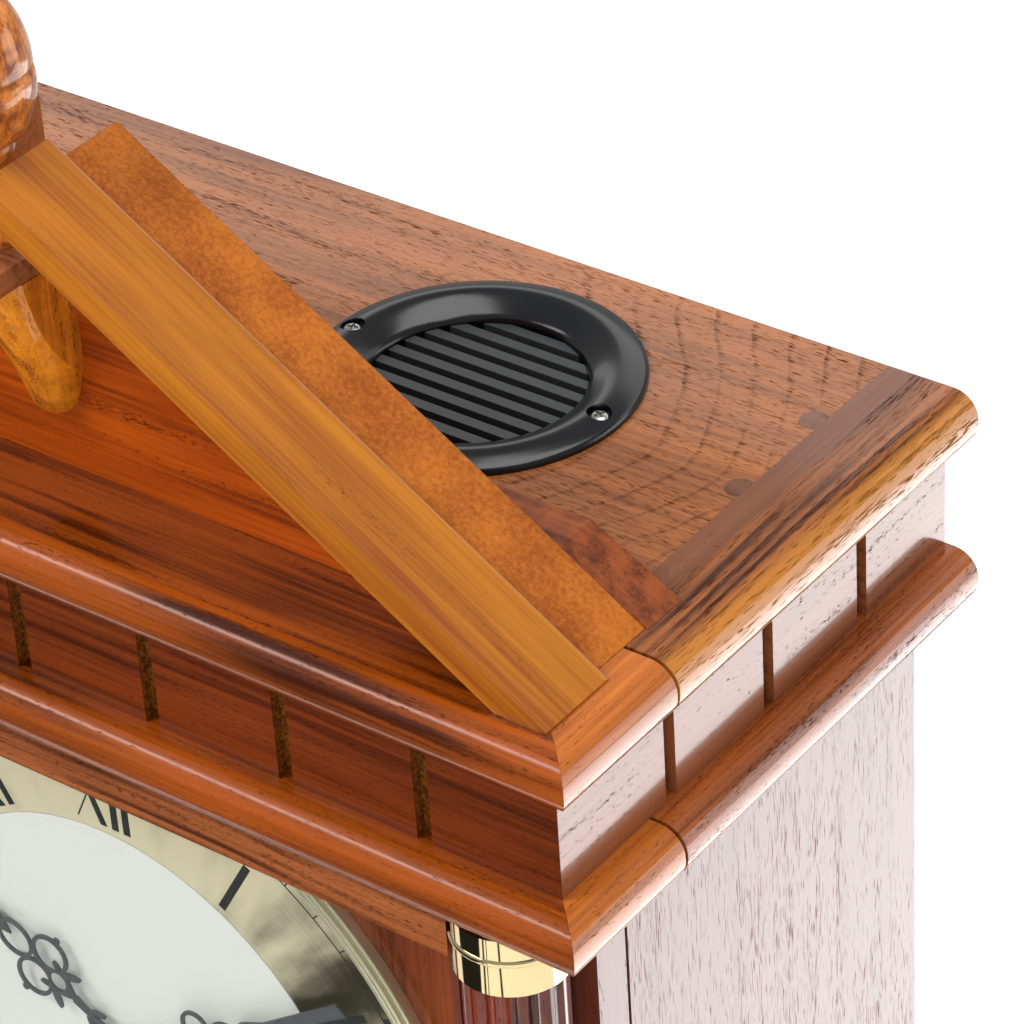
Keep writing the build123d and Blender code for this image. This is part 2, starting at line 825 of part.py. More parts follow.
with BuildPart() as hour_hand:
    with BuildSketch(hand_plane(hour_hand_y + hand_thickness, hour_hand_angle)):
        Circle(5.2)
        with BuildLine():
            Polyline(
                (4.0, 1.5),
                (13.0, 1.0),
                (20.0, 1.5),
                (20.0, -1.5),
                (13.0, -1.0),
                (4.0, -1.5),
                close=True,
            )
        make_face()
        for side in (-1, 1):
            with BuildLine():
                Polyline((19.0, 0), (26.0, side * 5.0), (30.5, 0), close=True)
            make_face()
            with Locations(Location((12.4, side * 2.6, 0), (0, 0, side * -32))):
                Ellipse(2.6, 0.9)
            with Locations(Location((24.0, side * 5.6, 0), (0, 0, side * -38))):
                Ellipse(3.4, 1.1)
            with Locations((ring_place, side * ring_offset)):
                Circle(ring_radius)
                Circle(ring_radius - ring_line, mode=Mode.SUBTRACT)
            with Locations((ring_place + 0.5, side * (ring_offset + ring_radius + 0.5))):
                Circle(1.1)
            with Locations(Location((28.6, side * 4.4, 0), (0, 0, side * 22))):
                Ellipse(2.0, 0.8)
        with Locations((26.2, 0)):
            Ellipse(2.8, 2.9, mode=Mode.SUBTRACT)
        with Locations((42.6, 0)):
            Ellipse(6.4, 5.6)
            Ellipse(5.3, 4.4, mode=Mode.SUBTRACT)
        with BuildLine():
            Polyline(
                (44.0, 0),
                (48.6, 2.6),
                (hour_hand_length, 0.5),
                (hour_hand_length, -0.5),
                (48.6, -2.6),
                close=True,
            )
        make_face()
        Circle(hour_tube_radius, mode=Mode.SUBTRACT)
    extrude(amount=hand_thickness)
save(hour_hand, "hour_hand")

with BuildPart() as minute_hand:
    with BuildSketch(hand_plane(minute_hand_y + hand_thickness, minute_hand_angle)):
        Circle(4.4)
        with BuildLine():
            Polyline((3.5, 1.3), (36.0, 0.9), (36.0, -0.9), (3.5, -1.3), close=True)
        make_face()
        for side in (-1, 1):
            with Locations((36.0, side * 4.4)):
                Circle(4.6)
                Circle(3.5, mode=Mode.SUBTRACT)
            with Locations(Location((27.0, side * 2.4, 0), (0, 0, side * -32))):
                Ellipse(3.0, 0.9)
        with Locations((44.6, 0)):
            Ellipse(5.6, 4.2)
            Ellipse(4.5, 3.1, mode=Mode.SUBTRACT)
        with BuildLine():
            Polyline(
                (48.6, 1.0),
                (54.0, 2.8),
                (62.0, 1.4),
                (minute_hand_length, 2.1),
                (minute_hand_length + 0.8, -1.9),
                (62.0, -1.4),
                (54.0, -2.8),
                (48.6, -1.0),
                close=True,
            )
        make_face()
        Circle(arbor_radius, mode=Mode.SUBTRACT)
    extrude(amount=hand_thickness)
save(minute_hand, "minute_hand")

# =================================================================== speaker
speaker_z = top_z
ring_inner = grille_bore_radius
ring_width = grille_radius - ring_inner
with BuildPart() as speaker_grille:
    with BuildSketch(Plane((speaker_x, speaker_y, speaker_z), x_dir=(1, 0, 0), z_dir=(0, -1, 0))):
        with BuildLine():
            Polyline(
                (grille_radius, 0),
                (ring_inner + grille_wall, 0),
                (ring_inner + grille_wall, -grille_tube_depth),
                (ring_inner, -grille_tube_depth),
                (ring_inner, grille_lip_z),
            )
            Spline(
                (ring_inner, grille_lip_z),
                (ring_inner + 0.18 * ring_width, 0.4 * grille_height),
                (ring_inner + 0.53 * ring_width, grille_height),
                (ring_inner + 0.88 * ring_width, 0.69 * grille_height),
                (grille_radius, 0),
                tangents=((0.3, 1), (0, -1)),
            )
        make_face()
    revolve(axis=Axis((speaker_x, speaker_y, 0), (0, 0, 1)))
    with BuildSketch(Plane(origin=(speaker_x, speaker_y, speaker_z + slat_top))):
        with GridLocations(0, slat_pitch, 1, slat_count):
            Rectangle(2 * grille_radius, slat_width)
        Circle(ring_inner + grille_wall / 2, mode=Mode.INTERSECT)
    extrude(amount=-slat_depth)
    for side in (-1, 1):
        with BuildSketch(Plane.XY.offset(speaker_z + screw_seat_z)):
            with Locations((speaker_x + side * grille_screw_radius, speaker_y)):
                Circle(screw_recess_radius)
        extrude(amount=grille_height, mode=Mode.SUBTRACT)
        with BuildSketch(Plane.XY.offset(speaker_z)):
            with Locations((speaker_x + side * grille_screw_radius, speaker_y)):
                Circle(screw_shank_radius)
        extrude(amount=screw_seat_z, mode=Mode.SUBTRACT)
save(speaker_grille, "speaker_grille")

with BuildPart() as grille_screws:
    for side in (-1, 1):
        with BuildSketch(Plane.XY.offset(speaker_z + screw_seat_z)):
            with Locations((speaker_x + side * grille_screw_radius, speaker_y)):
                Circle(screw_head_radius)
        extrude(amount=screw_head_height)
        with BuildSketch(Plane.XY.offset(speaker_z + screw_seat_z)):
            with Locations((speaker_x + side * grille_screw_radius, speaker_y)):
                Circle(screw_shank_radius)
        extrude(amount=-screw_length)
    fillet(grille_screws.edges().filter_by(GeomType.CIRCLE).group_by(Axis.Z)[-1], 0.7)
save(grille_screws, "grille_screws")

flange_z = deck_z - speaker_flange
basket_z = flange_z - basket_depth
with BuildPart() as speaker_frame:
    with BuildSketch(Plane(origin=(speaker_x, speaker_y, 0), x_dir=(1, 0, 0), z_dir=(0, -1, 0))):
        with BuildLine():
            Polyline(
                (speaker_flange_radius, deck_z),
                (cone_radius + 1.5, deck_z),
                (cone_radius + 1.5, flange_z),
                (magnet_radius - basket_wall, basket_z + basket_wall),
                (cone_neck_radius + 1.0, basket_z + basket_wall),
                (cone_neck_radius + 1.0, basket_z),
                (magnet_radius, basket_z),
                (cone_radius + 1.5 + basket_wall, flange_z),
                (speaker_flange_radius, flange_z),
                close=True,
            )
        make_face()
    revolve(axis=Axis((speaker_x, speaker_y, 0), (0, 0, 1)))
    with BuildSketch(Plane.XY.offset(basket_z + 2.0)):
        with Locations((speaker_x, speaker_y)):
            with PolarLocations((magnet_radius + cone_radius) / 2, 4, start_angle=45):
                Circle(5.0)
    extrude(amount=basket_depth - 4.0, mode=Mode.SUBTRACT)
    with BuildSketch(Plane.XY.offset(basket_z)):
        with Locations((speaker_x, speaker_y)):
            Circle(magnet_radius)
    extrude(amount=-magnet_height)
save(speaker_frame, "speaker_frame")

with BuildPart() as speaker_cone:
    with BuildSketch(Plane(origin=(speaker_x, speaker_y, 0), x_dir=(1, 0, 0), z_dir=(0, -1, 0))):
        with BuildLine():
            Polyline(
                (cone_radius + 1.4, deck_z - 0.1),
                (cone_radius + 1.4, deck_z - 0.9),
                (cone_radius - 2.0, deck_z - 0.9),
                (cone_neck_radius, basket_z + 3.0),
                (0, basket_z + 3.0),
                (0, basket_z + 5.6),
            )
            ThreePointArc(
                (0, basket_z + 5.6),
                (cone_neck_radius * 0.55, basket_z + 5.0),
                (cone_neck_radius, basket_z + 3.8),
            )
            Polyline((cone_neck_radius, basket_z + 3.8), (cone_radius - 2.0, deck_z - 0.1))
            Line((cone_radius - 2.0, deck_z - 0.1), (cone_radius + 1.4, deck_z - 0.1))
        make_face()
    revolve(axis=Axis((speaker_x, speaker_y, 0), (0, 0, 1)))
save(speaker_cone, "speaker_cone")

# ================================================================== movement
# The movement hangs on the back of the dial board. Its hub passes through
# the board; the hour tube and the minute arbor run in the hub.
motion_x = gear_spacing
drive_spacing = minute_module * (drive_teeth + drive_pinion_teeth) / 2
case_front = dial_board_back_y
case_back = case_front + movement_depth
floor_y = case_front + movement_wall
shelf_z = dial_z - movement_below + movement_wall + bay_height
movement_top_z = dial_z + movement_above
movement_bottom_z = dial_z - movement_below
inner_half = movement_half_width - movement_wall
pillar_radius = 4.0
pillar_places = [(-55.0, dial_z + 38.0), (55.0, dial_z + 38.0), (-55.0, dial_z - 30.0), (55.0, dial_z - 30.0)]
plate_front = case_front + plate_y

with BuildPart() as movement_case:
    block(
        (-movement_half_width, movement_half_width),
        (case_front, case_back),
        (movement_bottom_z, movement_top_z),
    )
    fillet(movement_case.edges().filter_by(Axis.Y), 4.0)
    block(
        (-inner_half, inner_half),
        (floor_y, case_back),
        (shelf_z + movement_wall, movement_top_z - movement_wall),
        Mode.SUBTRACT,
    )
    block(
        (-inner_half, inner_half),
        (floor_y, case_back),
        (movement_bottom_z + movement_wall, shelf_z),
        Mode.SUBTRACT,
    )
    for side in (-1, 1):
        for height in lug_heights:
            block(
                sorted((side * (movement_half_width - 0.5), side * (movement_half_width + lug_size))),
                (case_front, case_front + lug_thickness),
                (height - lug_size / 2, height + lug_size / 2),
            )
    with BuildSketch(facing(0, plate_front, 0)):
        with Locations(*pillar_places):
            Circle(pillar_radius)
    extrude(amount=plate_y - movement_wall)
    with BuildSketch(facing(0, case_front, dial_z)):
        Circle(hub_radius)
    extrude(amount=case_front - recess_floor_y)
    with BuildSketch(facing(0, floor_y, dial_z)):
        Circle(hour_tube_radius + running_gap)
    extrude(amount=floor_y - recess_floor_y, mode=Mode.SUBTRACT)
    with BuildSketch(facing(0, floor_y, dial_z)):
        with Locations((motion_x, 0), (-drive_spacing, 0)):
            Circle(pivot_radius + running_gap)
    extrude(amount=movement_wall - 0.6, mode=Mode.SUBTRACT)
    with BuildSketch(facing(0, case_front + lug_thickness, 0)):
        for height in lug_heights:
            with Locations((lug_x, height), (-lug_x, height)):
                Circle(case_screw_radius)
    extrude(amount=lug_thickness, mode=Mode.SUBTRACT)
save(movement_case, "movement_case")

with BuildPart() as movement_screws:
    for side in (-1, 1):
        for height in lug_heights:
            place = facing(side * lug_x, case_front + lug_thickness, height)
            with BuildSketch(place):
                Circle(case_screw_radius)
            extrude(amount=lug_thickness + case_screw_bite)
            with BuildSketch(place):
                Circle(case_screw_head_radius)
            extrude(amount=-case_screw_head)
save(movement_screws, "movement_screws")


def toothed_wheel(plane, teeth, module, width, phase):
    """Spur wheel: straight-flanked teeth with running backlash round a solid rim."""
    pitch_radius = module * teeth / 2
    root_radius = pitch_radius - 1.15 * module
    tip_radius = pitch_radius + 0.75 * module
    half_root = 0.36 * pi * module / 2 + 0.25 * module
    half_tip = 0.11 * pi * module
    with BuildPart() as wheel:
        with BuildSketch(plane):
            Circle(root_radius)
            for index in range(teeth):
                turn = phase + 360.0 * index / teeth
                with Locations(Location((0, 0, 0), (0, 0, turn))):
                    tooth = [
                        (root_radius - 0.3 * module, -half_root),
                        (tip_radius, -half_tip),
                        (tip_radius, half_tip),
                        (root_radius - 0.3 * module, half_root),
                    ]
                    Polygon(*tooth, align=None)
        extrude(amount=width)
    return wheel.part


# Layers of the motion work, measured back from the inside of the front wall.
hour_wheel_layer = 1.0
hour_wheel_width = 2.0
pinion_width = 2.4
cannon_layer = 4.6
cannon_width = 2.6
motion_wheel_layer = 4.9
motion_wheel_width = 2.0
drive_layer = 9.0
drive_width = 1.4
hour_wheel_back = floor_y + hour_wheel_layer + hour_wheel_width
cannon_back = floor_y + cannon_layer + cannon_width
drive_back = floor_y + drive_layer + drive_width
plate_back = plate_front + plate_thickness

with BuildPart() as hour_wheel:
    add(toothed_wheel(facing(0, hour_wheel_back, dial_z), hour_teeth, hour_module, hour_wheel_width, 0))
    with BuildSketch(facing(0, hour_wheel_back, dial_z)):
        Circle(hour_tube_radius)
    extrude(amount=hour_wheel_back - hour_hand_y)
    with BuildSketch(facing(0, hour_wheel_back, dial_z)):
        Circle(arbor_radius + running_gap)
    extrude(amount=hour_wheel_back - hour_hand_y, mode=Mode.SUBTRACT)
save(hour_wheel, "hour_wheel")

nut_height = 1.2
nut_radius = 3.4
with BuildPart() as minute_arbor:
    with BuildSketch(facing(0, drive_back, dial_z)):
        Circle(arbor_radius)
    extrude(amount=drive_back - minute_hand_y)
    with BuildSketch(facing(0, minute_hand_y, dial_z)):
        Circle(nut_radius)
    extrude(amount=nut_height, taper=20)
    add(toothed_wheel(facing(0, cannon_back, dial_z), cannon_teeth, minute_module, cannon_width, 0))
    add(toothed_wheel(facing(0, drive_back, dial_z), drive_teeth, minute_module, drive_width, 0))
    with BuildSketch(facing(0, plate_back, dial_z)):
        Circle(pivot_radius)
    extrude(amount=plate_back - drive_back)
save(minute_arbor, "minute_arbor")

motion_back = floor_y + motion_wheel_layer + motion_wheel_width
motion_pinion_back = hour_wheel_back + (pinion_width - hour_wheel_width) / 2
knob_front = case_back + cover_thickness + 0.6
with BuildPart() as motion_wheel:
    wheel_face = facing(motion_x, motion_back, dial_z)
    add(toothed_wheel(wheel_face, motion_teeth, minute_module, motion_wheel_width, 5))
    with BuildSketch(facing(motion_x, motion_back, dial_z)):
        Circle(1.8)
    extrude(amount=motion_back - motion_pinion_back)
    pinion_face = facing(motion_x, motion_pinion_back, dial_z)
    add(toothed_wheel(pinion_face, motion_pinion_teeth, hour_module, pinion_width, 18))
    with BuildSketch(facing(motion_x, knob_front + knob_length - 2.0, dial_z)):
        Circle(pivot_radius)
    extrude(amount=knob_front + knob_length - 2.0 - floor_y + movement_wall - 0.8)
save(motion_wheel, "motion_wheel")


def knurled_knob(x, z, front, radius, length, bore, ribs):
    """Moulded knob with a ribbed rim and a blind bore for its spindle."""
    with BuildPart() as knob:
        with BuildSketch(facing(x, front + length, z)):
            Circle(radius - 0.5)
            with PolarLocations(radius - 0.5, ribs):
                Circle(0.5)
        extrude(amount=length)
        with BuildSketch(facing(x, front + length - 2.0, z)):
            Circle(bore)
        extrude(amount=length - 2.0, mode=Mode.SUBTRACT)
    return knob


setting_knob = knurled_knob(motion_x, dial_z, knob_front, knob_radius, knob_length, pivot_radius, 24)
save(setting_knob, "setting_knob")

drive_arbor_radius = pivot_radius
with BuildPart() as drive_pinion:
    with BuildSketch(facing(-drive_spacing, plate_back, dial_z)):
        Circle(drive_arbor_radius)
    extrude(amount=plate_back - floor_y + movement_wall - 0.8)
    add(
        toothed_wheel(
            facing(-drive_spacing, drive_back + 0.4, dial_z),
            drive_pinion_teeth,
            minute_module,
            drive_width + 0.8,
            18,
        )
    )
    with BuildSketch(facing(-drive_spacing, plate_front - 1.0, dial_z)):
        Circle(4.0)
    extrude(amount=5.0)
save(drive_pinion, "drive_pinion")

# Moulded rear plate with the circuit, drive coil, volume control and switch.
plate_half = inner_half - 1.0
pot_radius = 7.0
pot_height = 4.0
switch_body = (14.0, 5.0, 7.0)
with BuildPart() as movement_plate:
    block(
        (-plate_half, plate_half),
        (plate_front, plate_back),
        (shelf_z + movement_wall + 2.0, movement_top_z - movement_wall - 1.0),
    )
    with BuildSketch(facing(0, plate_back, dial_z)):
        with Locations((0, 0), (motion_x, 0), (-drive_spacing, 0)):
            Circle(pivot_radius + running_gap)
    extrude(amount=plate_thickness, mode=Mode.SUBTRACT)
    block(
        (-drive_spacing - 22.0, -drive_spacing - 8.0),
        (plate_front - 8.0, plate_front),
        (dial_z - 10.0, dial_z + 10.0),
    )
    with BuildSketch(facing(volume_x, plate_back + pot_height, dial_z + control_height)):
        Circle(pot_radius)
    extrude(amount=pot_height)
    with BuildSketch(facing(volume_x, plate_back + pot_height, dial_z + control_height)):
        Circle(1.5 + running_gap)
    extrude(amount=pot_height, mode=Mode.SUBTRACT)
    block(
        (switch_x - switch_body[0] / 2, switch_x + switch_body[0] / 2),
        (plate_back, plate_back + switch_body[1]),
        (dial_z + control_height - switch_body[2] / 2, dial_z + control_height + switch_body[2] / 2),
    )
    for place_x in (-20.0, 0.0, 20.0):
        block((place_x - 6.0, place_x + 6.0), (plate_back, plate_back + 2.5), (dial_z + 12.0, dial_z + 22.0))
save(movement_plate, "movement_plate")

with BuildPart() as volume_knob:
    add(knurled_knob(volume_x, dial_z + control_height, knob_front, knob_radius, knob_length, 1.5, 24).part)
    with BuildSketch(facing(volume_x, knob_front + knob_length - 2.0, dial_z + control_height)):
        Circle(1.5)
    extrude(amount=knob_front + knob_length - 2.0 - plate_back - 0.3)
save(volume_knob, "volume_knob")

switch_back = plate_back + switch_body[1]
slider_width = 4.0
slider_height = 3.6
with BuildPart() as mode_switch:
    block(
        (switch_x - slider_width / 2, switch_x + slider_width / 2),
        (switch_back + 0.1, case_back + cover_thickness + 3.0),
        (dial_z + control_height - slider_height / 2, dial_z + control_height + slider_height / 2),
    )
save(mode_switch, "mode_switch")

slot_gap = 0.3
with BuildPart() as movement_cover:
    block(
        (-movement_half_width, movement_half_width),
        (case_back, case_back + cover_thickness),
        (shelf_z + movement_wall / 2, movement_top_z),
    )
    fillet(movement_cover.edges().filter_by(Axis.Y).group_by(Axis.Z)[-1], 4.0)
    with BuildSketch(facing(0, case_back + cover_thickness, dial_z)):
        with Locations((motion_x, 0)):
            Circle(pivot_radius + 0.3)
        with Locations((volume_x, control_height)):
            Circle(1.5 + 0.3)
        with Locations((switch_x, control_height)):
            Rectangle(slider_width + 2 * switch_travel + 2 * slot_gap, slider_height + 2 * slot_gap)
    extrude(amount=cover_thickness, mode=Mode.SUBTRACT)
save(movement_cover, "movement_cover")

battery_z = movement_bottom_z + movement_wall + battery_radius + 0.2
battery_y = floor_y + battery_radius + 0.2
with BuildPart() as batteries:
    for side in (-1, 1):
        start = side * 0.5 * battery_length
        with BuildSketch(Plane(origin=(start, battery_y, battery_z), z_dir=(1, 0, 0))):
            Circle(battery_radius)
        extrude(amount=battery_length / 2 - 0.1, both=True)
    fillet(batteries.edges().filter_by(GeomType.CIRCLE), 1.0)
save(batteries, "batteries")

with BuildPart() as battery_contacts:
    contact_face = inner_half
    for side in (-1, 1):
        with BuildSketch(Plane(origin=(side * contact_face, battery_y, battery_z), z_dir=(-side, 0, 0))):
            Rectangle(16.0, 16.0)
        extrude(amount=0.8)
        spring_start = (side * (contact_face - 0.8), battery_y, battery_z)
        with BuildSketch(Plane(spring_start, z_dir=(-side, 0, 0))):
            Circle(6.5)
        extrude(amount=contact_face - 0.8 - battery_length + 0.1 - 0.3, taper=12)
save(battery_contacts, "battery_contacts")

with BuildPart() as battery_cover:
    block(
        (-movement_half_width, movement_half_width),
        (case_back, case_back + cover_thickness),
        (movement_bottom_z, shelf_z + movement_wall / 2 - 0.4),
    )
    fillet(battery_cover.edges().filter_by(Axis.Y).group_by(Axis.Z)[0], 4.0)
    for index in range(4):
        ridge_z = movement_bottom_z + 6.0 + index * 2.4
        block(
            (-12.0, 12.0),
            (case_back + cover_thickness, case_back + cover_thickness + 0.8),
            (ridge_z, ridge_z + 1.2),
        )
save(battery_cover, "battery_cover")

# ================================================================= back door
door_half = case_inner_x - door_clearance
leaf_width = 16.0
scoop = (8.0, 3.0, 40.0)
with BuildPart() as back_door:
    block(
        (-door_half, door_half),
        (door_face_y - door_thickness, door_face_y),
        (case_z + door_clearance, cornice_z - door_clearance),
    )
    block(
        (door_half - scoop[0], door_half),
        (door_face_y - scoop[1], door_face_y),
        (dial_z - scoop[2] / 2, dial_z + scoop[2] / 2),
        Mode.SUBTRACT,
    )
save(back_door, "back_door")

knuckle = hinge_length / 3
with BuildPart() as hinge_pins:
    for height in hinge_heights:
        block(
            (-case_inner_x - leaf_thickness, -case_inner_x),
            (hinge_y - leaf_depth, hinge_y + hinge_radius),
            (height - hinge_length / 2, height + hinge_length / 2),
        )
        for offset in (-knuckle, knuckle):
            with BuildSketch(Plane.XY.offset(height + offset - knuckle / 2)):
                with Locations((hinge_x, hinge_y)):
                    Circle(hinge_radius)
            extrude(amount=knuckle)
            block(
                (-case_inner_x - leaf_thickness / 2, hinge_x),
                (hinge_y - 0.5, hinge_y + 0.5),
                (height + offset - knuckle / 2, height + offset + knuckle / 2),
            )
        with BuildSketch(Plane.XY.offset(height - knuckle / 2)):
            with Locations((hinge_x, hinge_y)):
                Circle(hinge_pin_radius)
        extrude(amount=knuckle)
save(hinge_pins, "hinge_pins")

with BuildPart() as hinge_leaves:
    for height in hinge_heights:
        low = height - knuckle / 2 + 0.1
        with BuildSketch(Plane.XY.offset(low)):
            with Locations((hinge_x, hinge_y)):
                Circle(hinge_radius)
        extrude(amount=knuckle - 0.2)
        block(
            (hinge_x, hinge_x + leaf_width),
            (door_face_y, door_face_y + leaf_thickness),
            (low, low + knuckle - 0.2),
        )
        with BuildSketch(Plane.XY.offset(low)):
            with Locations((hinge_x, hinge_y)):
                Circle(hinge_pin_radius + running_gap)
        extrude(amount=knuckle - 0.2, mode=Mode.SUBTRACT)
save(hinge_leaves, "hinge_leaves")
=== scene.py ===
import bpy
import numpy as np
from mathutils import Matrix, Vector


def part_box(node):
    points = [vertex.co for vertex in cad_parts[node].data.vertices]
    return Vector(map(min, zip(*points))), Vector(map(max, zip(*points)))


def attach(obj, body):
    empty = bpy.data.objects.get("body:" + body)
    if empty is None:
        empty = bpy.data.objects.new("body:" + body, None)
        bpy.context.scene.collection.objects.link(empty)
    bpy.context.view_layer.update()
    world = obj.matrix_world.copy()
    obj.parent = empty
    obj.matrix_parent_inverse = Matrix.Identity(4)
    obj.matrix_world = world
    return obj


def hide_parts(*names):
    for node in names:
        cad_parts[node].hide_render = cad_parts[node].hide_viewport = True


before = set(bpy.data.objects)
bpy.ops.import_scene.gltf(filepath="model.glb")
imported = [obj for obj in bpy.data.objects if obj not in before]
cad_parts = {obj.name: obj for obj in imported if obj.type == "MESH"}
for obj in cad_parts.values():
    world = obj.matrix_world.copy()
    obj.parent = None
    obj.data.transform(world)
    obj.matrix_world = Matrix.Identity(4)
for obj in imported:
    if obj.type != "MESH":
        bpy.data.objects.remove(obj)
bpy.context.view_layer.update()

# ------------------------------------------------------------ case boards
# The case is stained oak with an open grain, planed, glued at mitres and
# butt joints, and sprayed with a clear lacquer that sinks into the pores.
MM = 0.001
X, Y, Z = (1, 0, 0), (0, 1, 0), (0, 0, 1)


class Value:
    """A number, colour or vector in a material: sums written on it add its Math nodes."""

    def __init__(self, finish, socket):
        self.finish = finish
        self.socket = socket

    def maths(self, operation, *others):
        settings = {"operation": operation}
        return self.finish.node("ShaderNodeMath", settings, dict(enumerate(others)))

    def __add__(self, other):
        return self.maths("ADD", self, other)

    def __sub__(self, other):
        return self.maths("SUBTRACT", self, other)

    def __rsub__(self, other):
        return self.maths("SUBTRACT", other, self)

    def __mul__(self, other):
        return self.maths("MULTIPLY", self, other)

    def __truediv__(self, other):
        return self.maths("DIVIDE", self, other)

    def __pow__(self, other):
        return self.maths("POWER", self, other)

    def __abs__(self):
        return self.maths("ABSOLUTE", self)

    __radd__ = __add__

    def root(self):
        return self.maths("SQRT", self)

    def part(self):
        return self.maths("FRACT", self)

    def most(self, other):
        return self.maths("MAXIMUM", self, other)

    def step(self, low, high):
        """0 below low and 1 above high, with a smooth ramp between them."""
        settings = {"interpolation_type": "SMOOTHSTEP"}
        return self.finish.node("ShaderNodeMapRange", settings, {0: self, 1: low, 2: high})


class Finish:
    """A material under construction, with its Principled shader and its output."""

    def __init__(self, name, **sockets):
        self.material = bpy.data.materials.new(name)
        self.material.use_nodes = True
        self.tree = self.material.node_tree
        self.tree.nodes.clear()
        self.output = self.tree.nodes.new("ShaderNodeOutputMaterial")
        self.shader = self.node("ShaderNodeBsdfPrincipled", {}, sockets)
        self.feed(self.output.inputs["Surface"], self.shader)

    def node(self, kind, settings, sockets, output=0):
        """Any node: its settings first, then the values or links of its sockets."""
        made = self.tree.nodes.new(kind)
        for name, setting in settings.items():
            setattr(made, name, setting)
        for name, value in sockets.items():
            self.feed(made.inputs[name], value)
        return Value(self, made.outputs[output])

    def feed(self, socket, value):
        """Links a socket to a value of this material, or sets it to a constant."""
        if isinstance(value, Value):
            self.tree.links.new(value.socket, socket)
        else:
            socket.default_value = value

    def set(self, **sockets):
        """Links or sets sockets of the Principled shader; a name's spaces are underscores."""
        inputs = self.shader.socket.node.inputs
        for name, value in sockets.items():
            self.feed(inputs[name.replace("_", " ")], value)

    def place(self):
        """The point being shaded, in millimetres of the object's own frame."""
        point = self.node("ShaderNodeTexCoord", {}, {}, 3)
        return self.node("ShaderNodeVectorMath", {"operation": "SCALE"}, {0: point, "Scale": 1 / MM})

    def along(self, point, direction):
        """How far the point lies along a direction."""
        return self.node("ShaderNodeVectorMath", {"operation": "DOT_PRODUCT"}, {0: point, 1: direction}, 1)

    def round_centre(self, point, first, second, centre):
        """Distances from a centre in millimetres along two directions, and straight from it."""
        a = self.along(point, first) - centre[0] / MM
        b = self.along(point, second) - centre[1] / MM
        return a, b, (a * a + b * b).root()

    def vector(self, x, y, z):
        return self.node("ShaderNodeCombineXYZ", {}, {0: x, 1: y, 2: z})

    def noise(self, point, scale=1.0, detail=2.0, roughness=0.5):
        """Smooth random value between 0 and 1, with features about 1/scale apart."""
        sockets = {"Vector": point, "Scale": scale, "Detail": detail, "Roughness": roughness}
        return self.node("ShaderNodeTexNoise", {}, sockets)

    def mix(self, amount, first, second):
        """Colour that goes from first to second as amount goes from 0 to 1."""
        return self.node("ShaderNodeMix", {"data_type": "RGBA"}, {0: amount, 6: first, 7: second}, 2)

    def bump(self, height, depth_mm, normal=None):
        """Surface normal of a relief that is depth_mm deep where height goes from 0 to 1."""
        sockets = {"Height": height, "Distance": depth_mm * MM, "Strength": 1.0}
        if normal is not None:
            sockets["Normal"] = normal
        return self.node("ShaderNodeBump", {}, sockets)


def dress(finish, *nodes):
    """Gives a finish to CAD nodes."""
    for name in nodes:
        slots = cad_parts[name].data.materials
        slots.clear()
        slots.append(finish.material)


def rgb(red, green, blue):
    """A colour as the eye reads it, from 0 to 255, made linear."""
    share = np.array([red, green, blue]) / 255.0
    linear = np.where(share <= 0.04045, share / 12.92, ((share + 0.055) / 1.055) ** 2.4)
    return (*linear, 1.0)


# The directions along a board's grain, across it and through it.
ALONG_X, ALONG_Y, ALONG_Z = (X, Y, Z), (Y, X, Z), (Z, X, Y)
PORE = rgb(60, 26, 12)
# How far a pore darkens the wood, how strong the lacquer is, and how many
# millimetres the rings wander.
PORE_DARKNESS = 0.75
LACQUER = 0.85
RING_WANDER = 10.0


def oak(
    name,
    light,
    dark,
    grain,
    pith=(0.0, -300.0),
    pitch=4.5,
    pores=1.0,
    figure=0.3,
    burl=0.0,
    bands=0.9,
    dash=0.5,
    mitre=None,
):
    """Lacquered oak whose rings lie round a pith line beside the board, pith = (across, deep).

    Ring number = (distance from the pith + slow noise) / pitch, in millimetres. A dark band
    rises and fades in each ring. Behind the diagonal through a mitred corner, given as (x, y),
    the grain turns by 90 degrees.
    """
    finish = Finish(name, IOR=1.5)
    finish.set(Specular_IOR_Level=0.06)
    point = finish.place()
    run, across, deep = (finish.along(point, direction) for direction in grain)
    if mitre:
        side, back = mitre
        rear = (side - back - abs(across) + run).step(0.0, 0.05)
        run, across = run + rear * (across - run), across + rear * (run - across)
    wander = finish.noise(finish.vector(run * 0.006, across * 0.02, deep * 0.02), detail=2.0)
    reach = ((across - pith[0]) ** 2.0 + (deep - pith[1]) ** 2.0).root()
    phase = ((reach + wander * RING_WANDER) / pitch).part()
    fade = finish.noise(finish.vector(run * 0.012, across * 0.11, deep * 0.11), detail=3.0)
    early = phase.step(0.0, 0.2) * (1 - phase.step(0.3, 0.85)) * fade.step(0.38, 0.66)
    axes = (run, across, deep)
    return finish_oak(finish, point, axes, early, light, dark, pores, figure, burl, bands, dash)


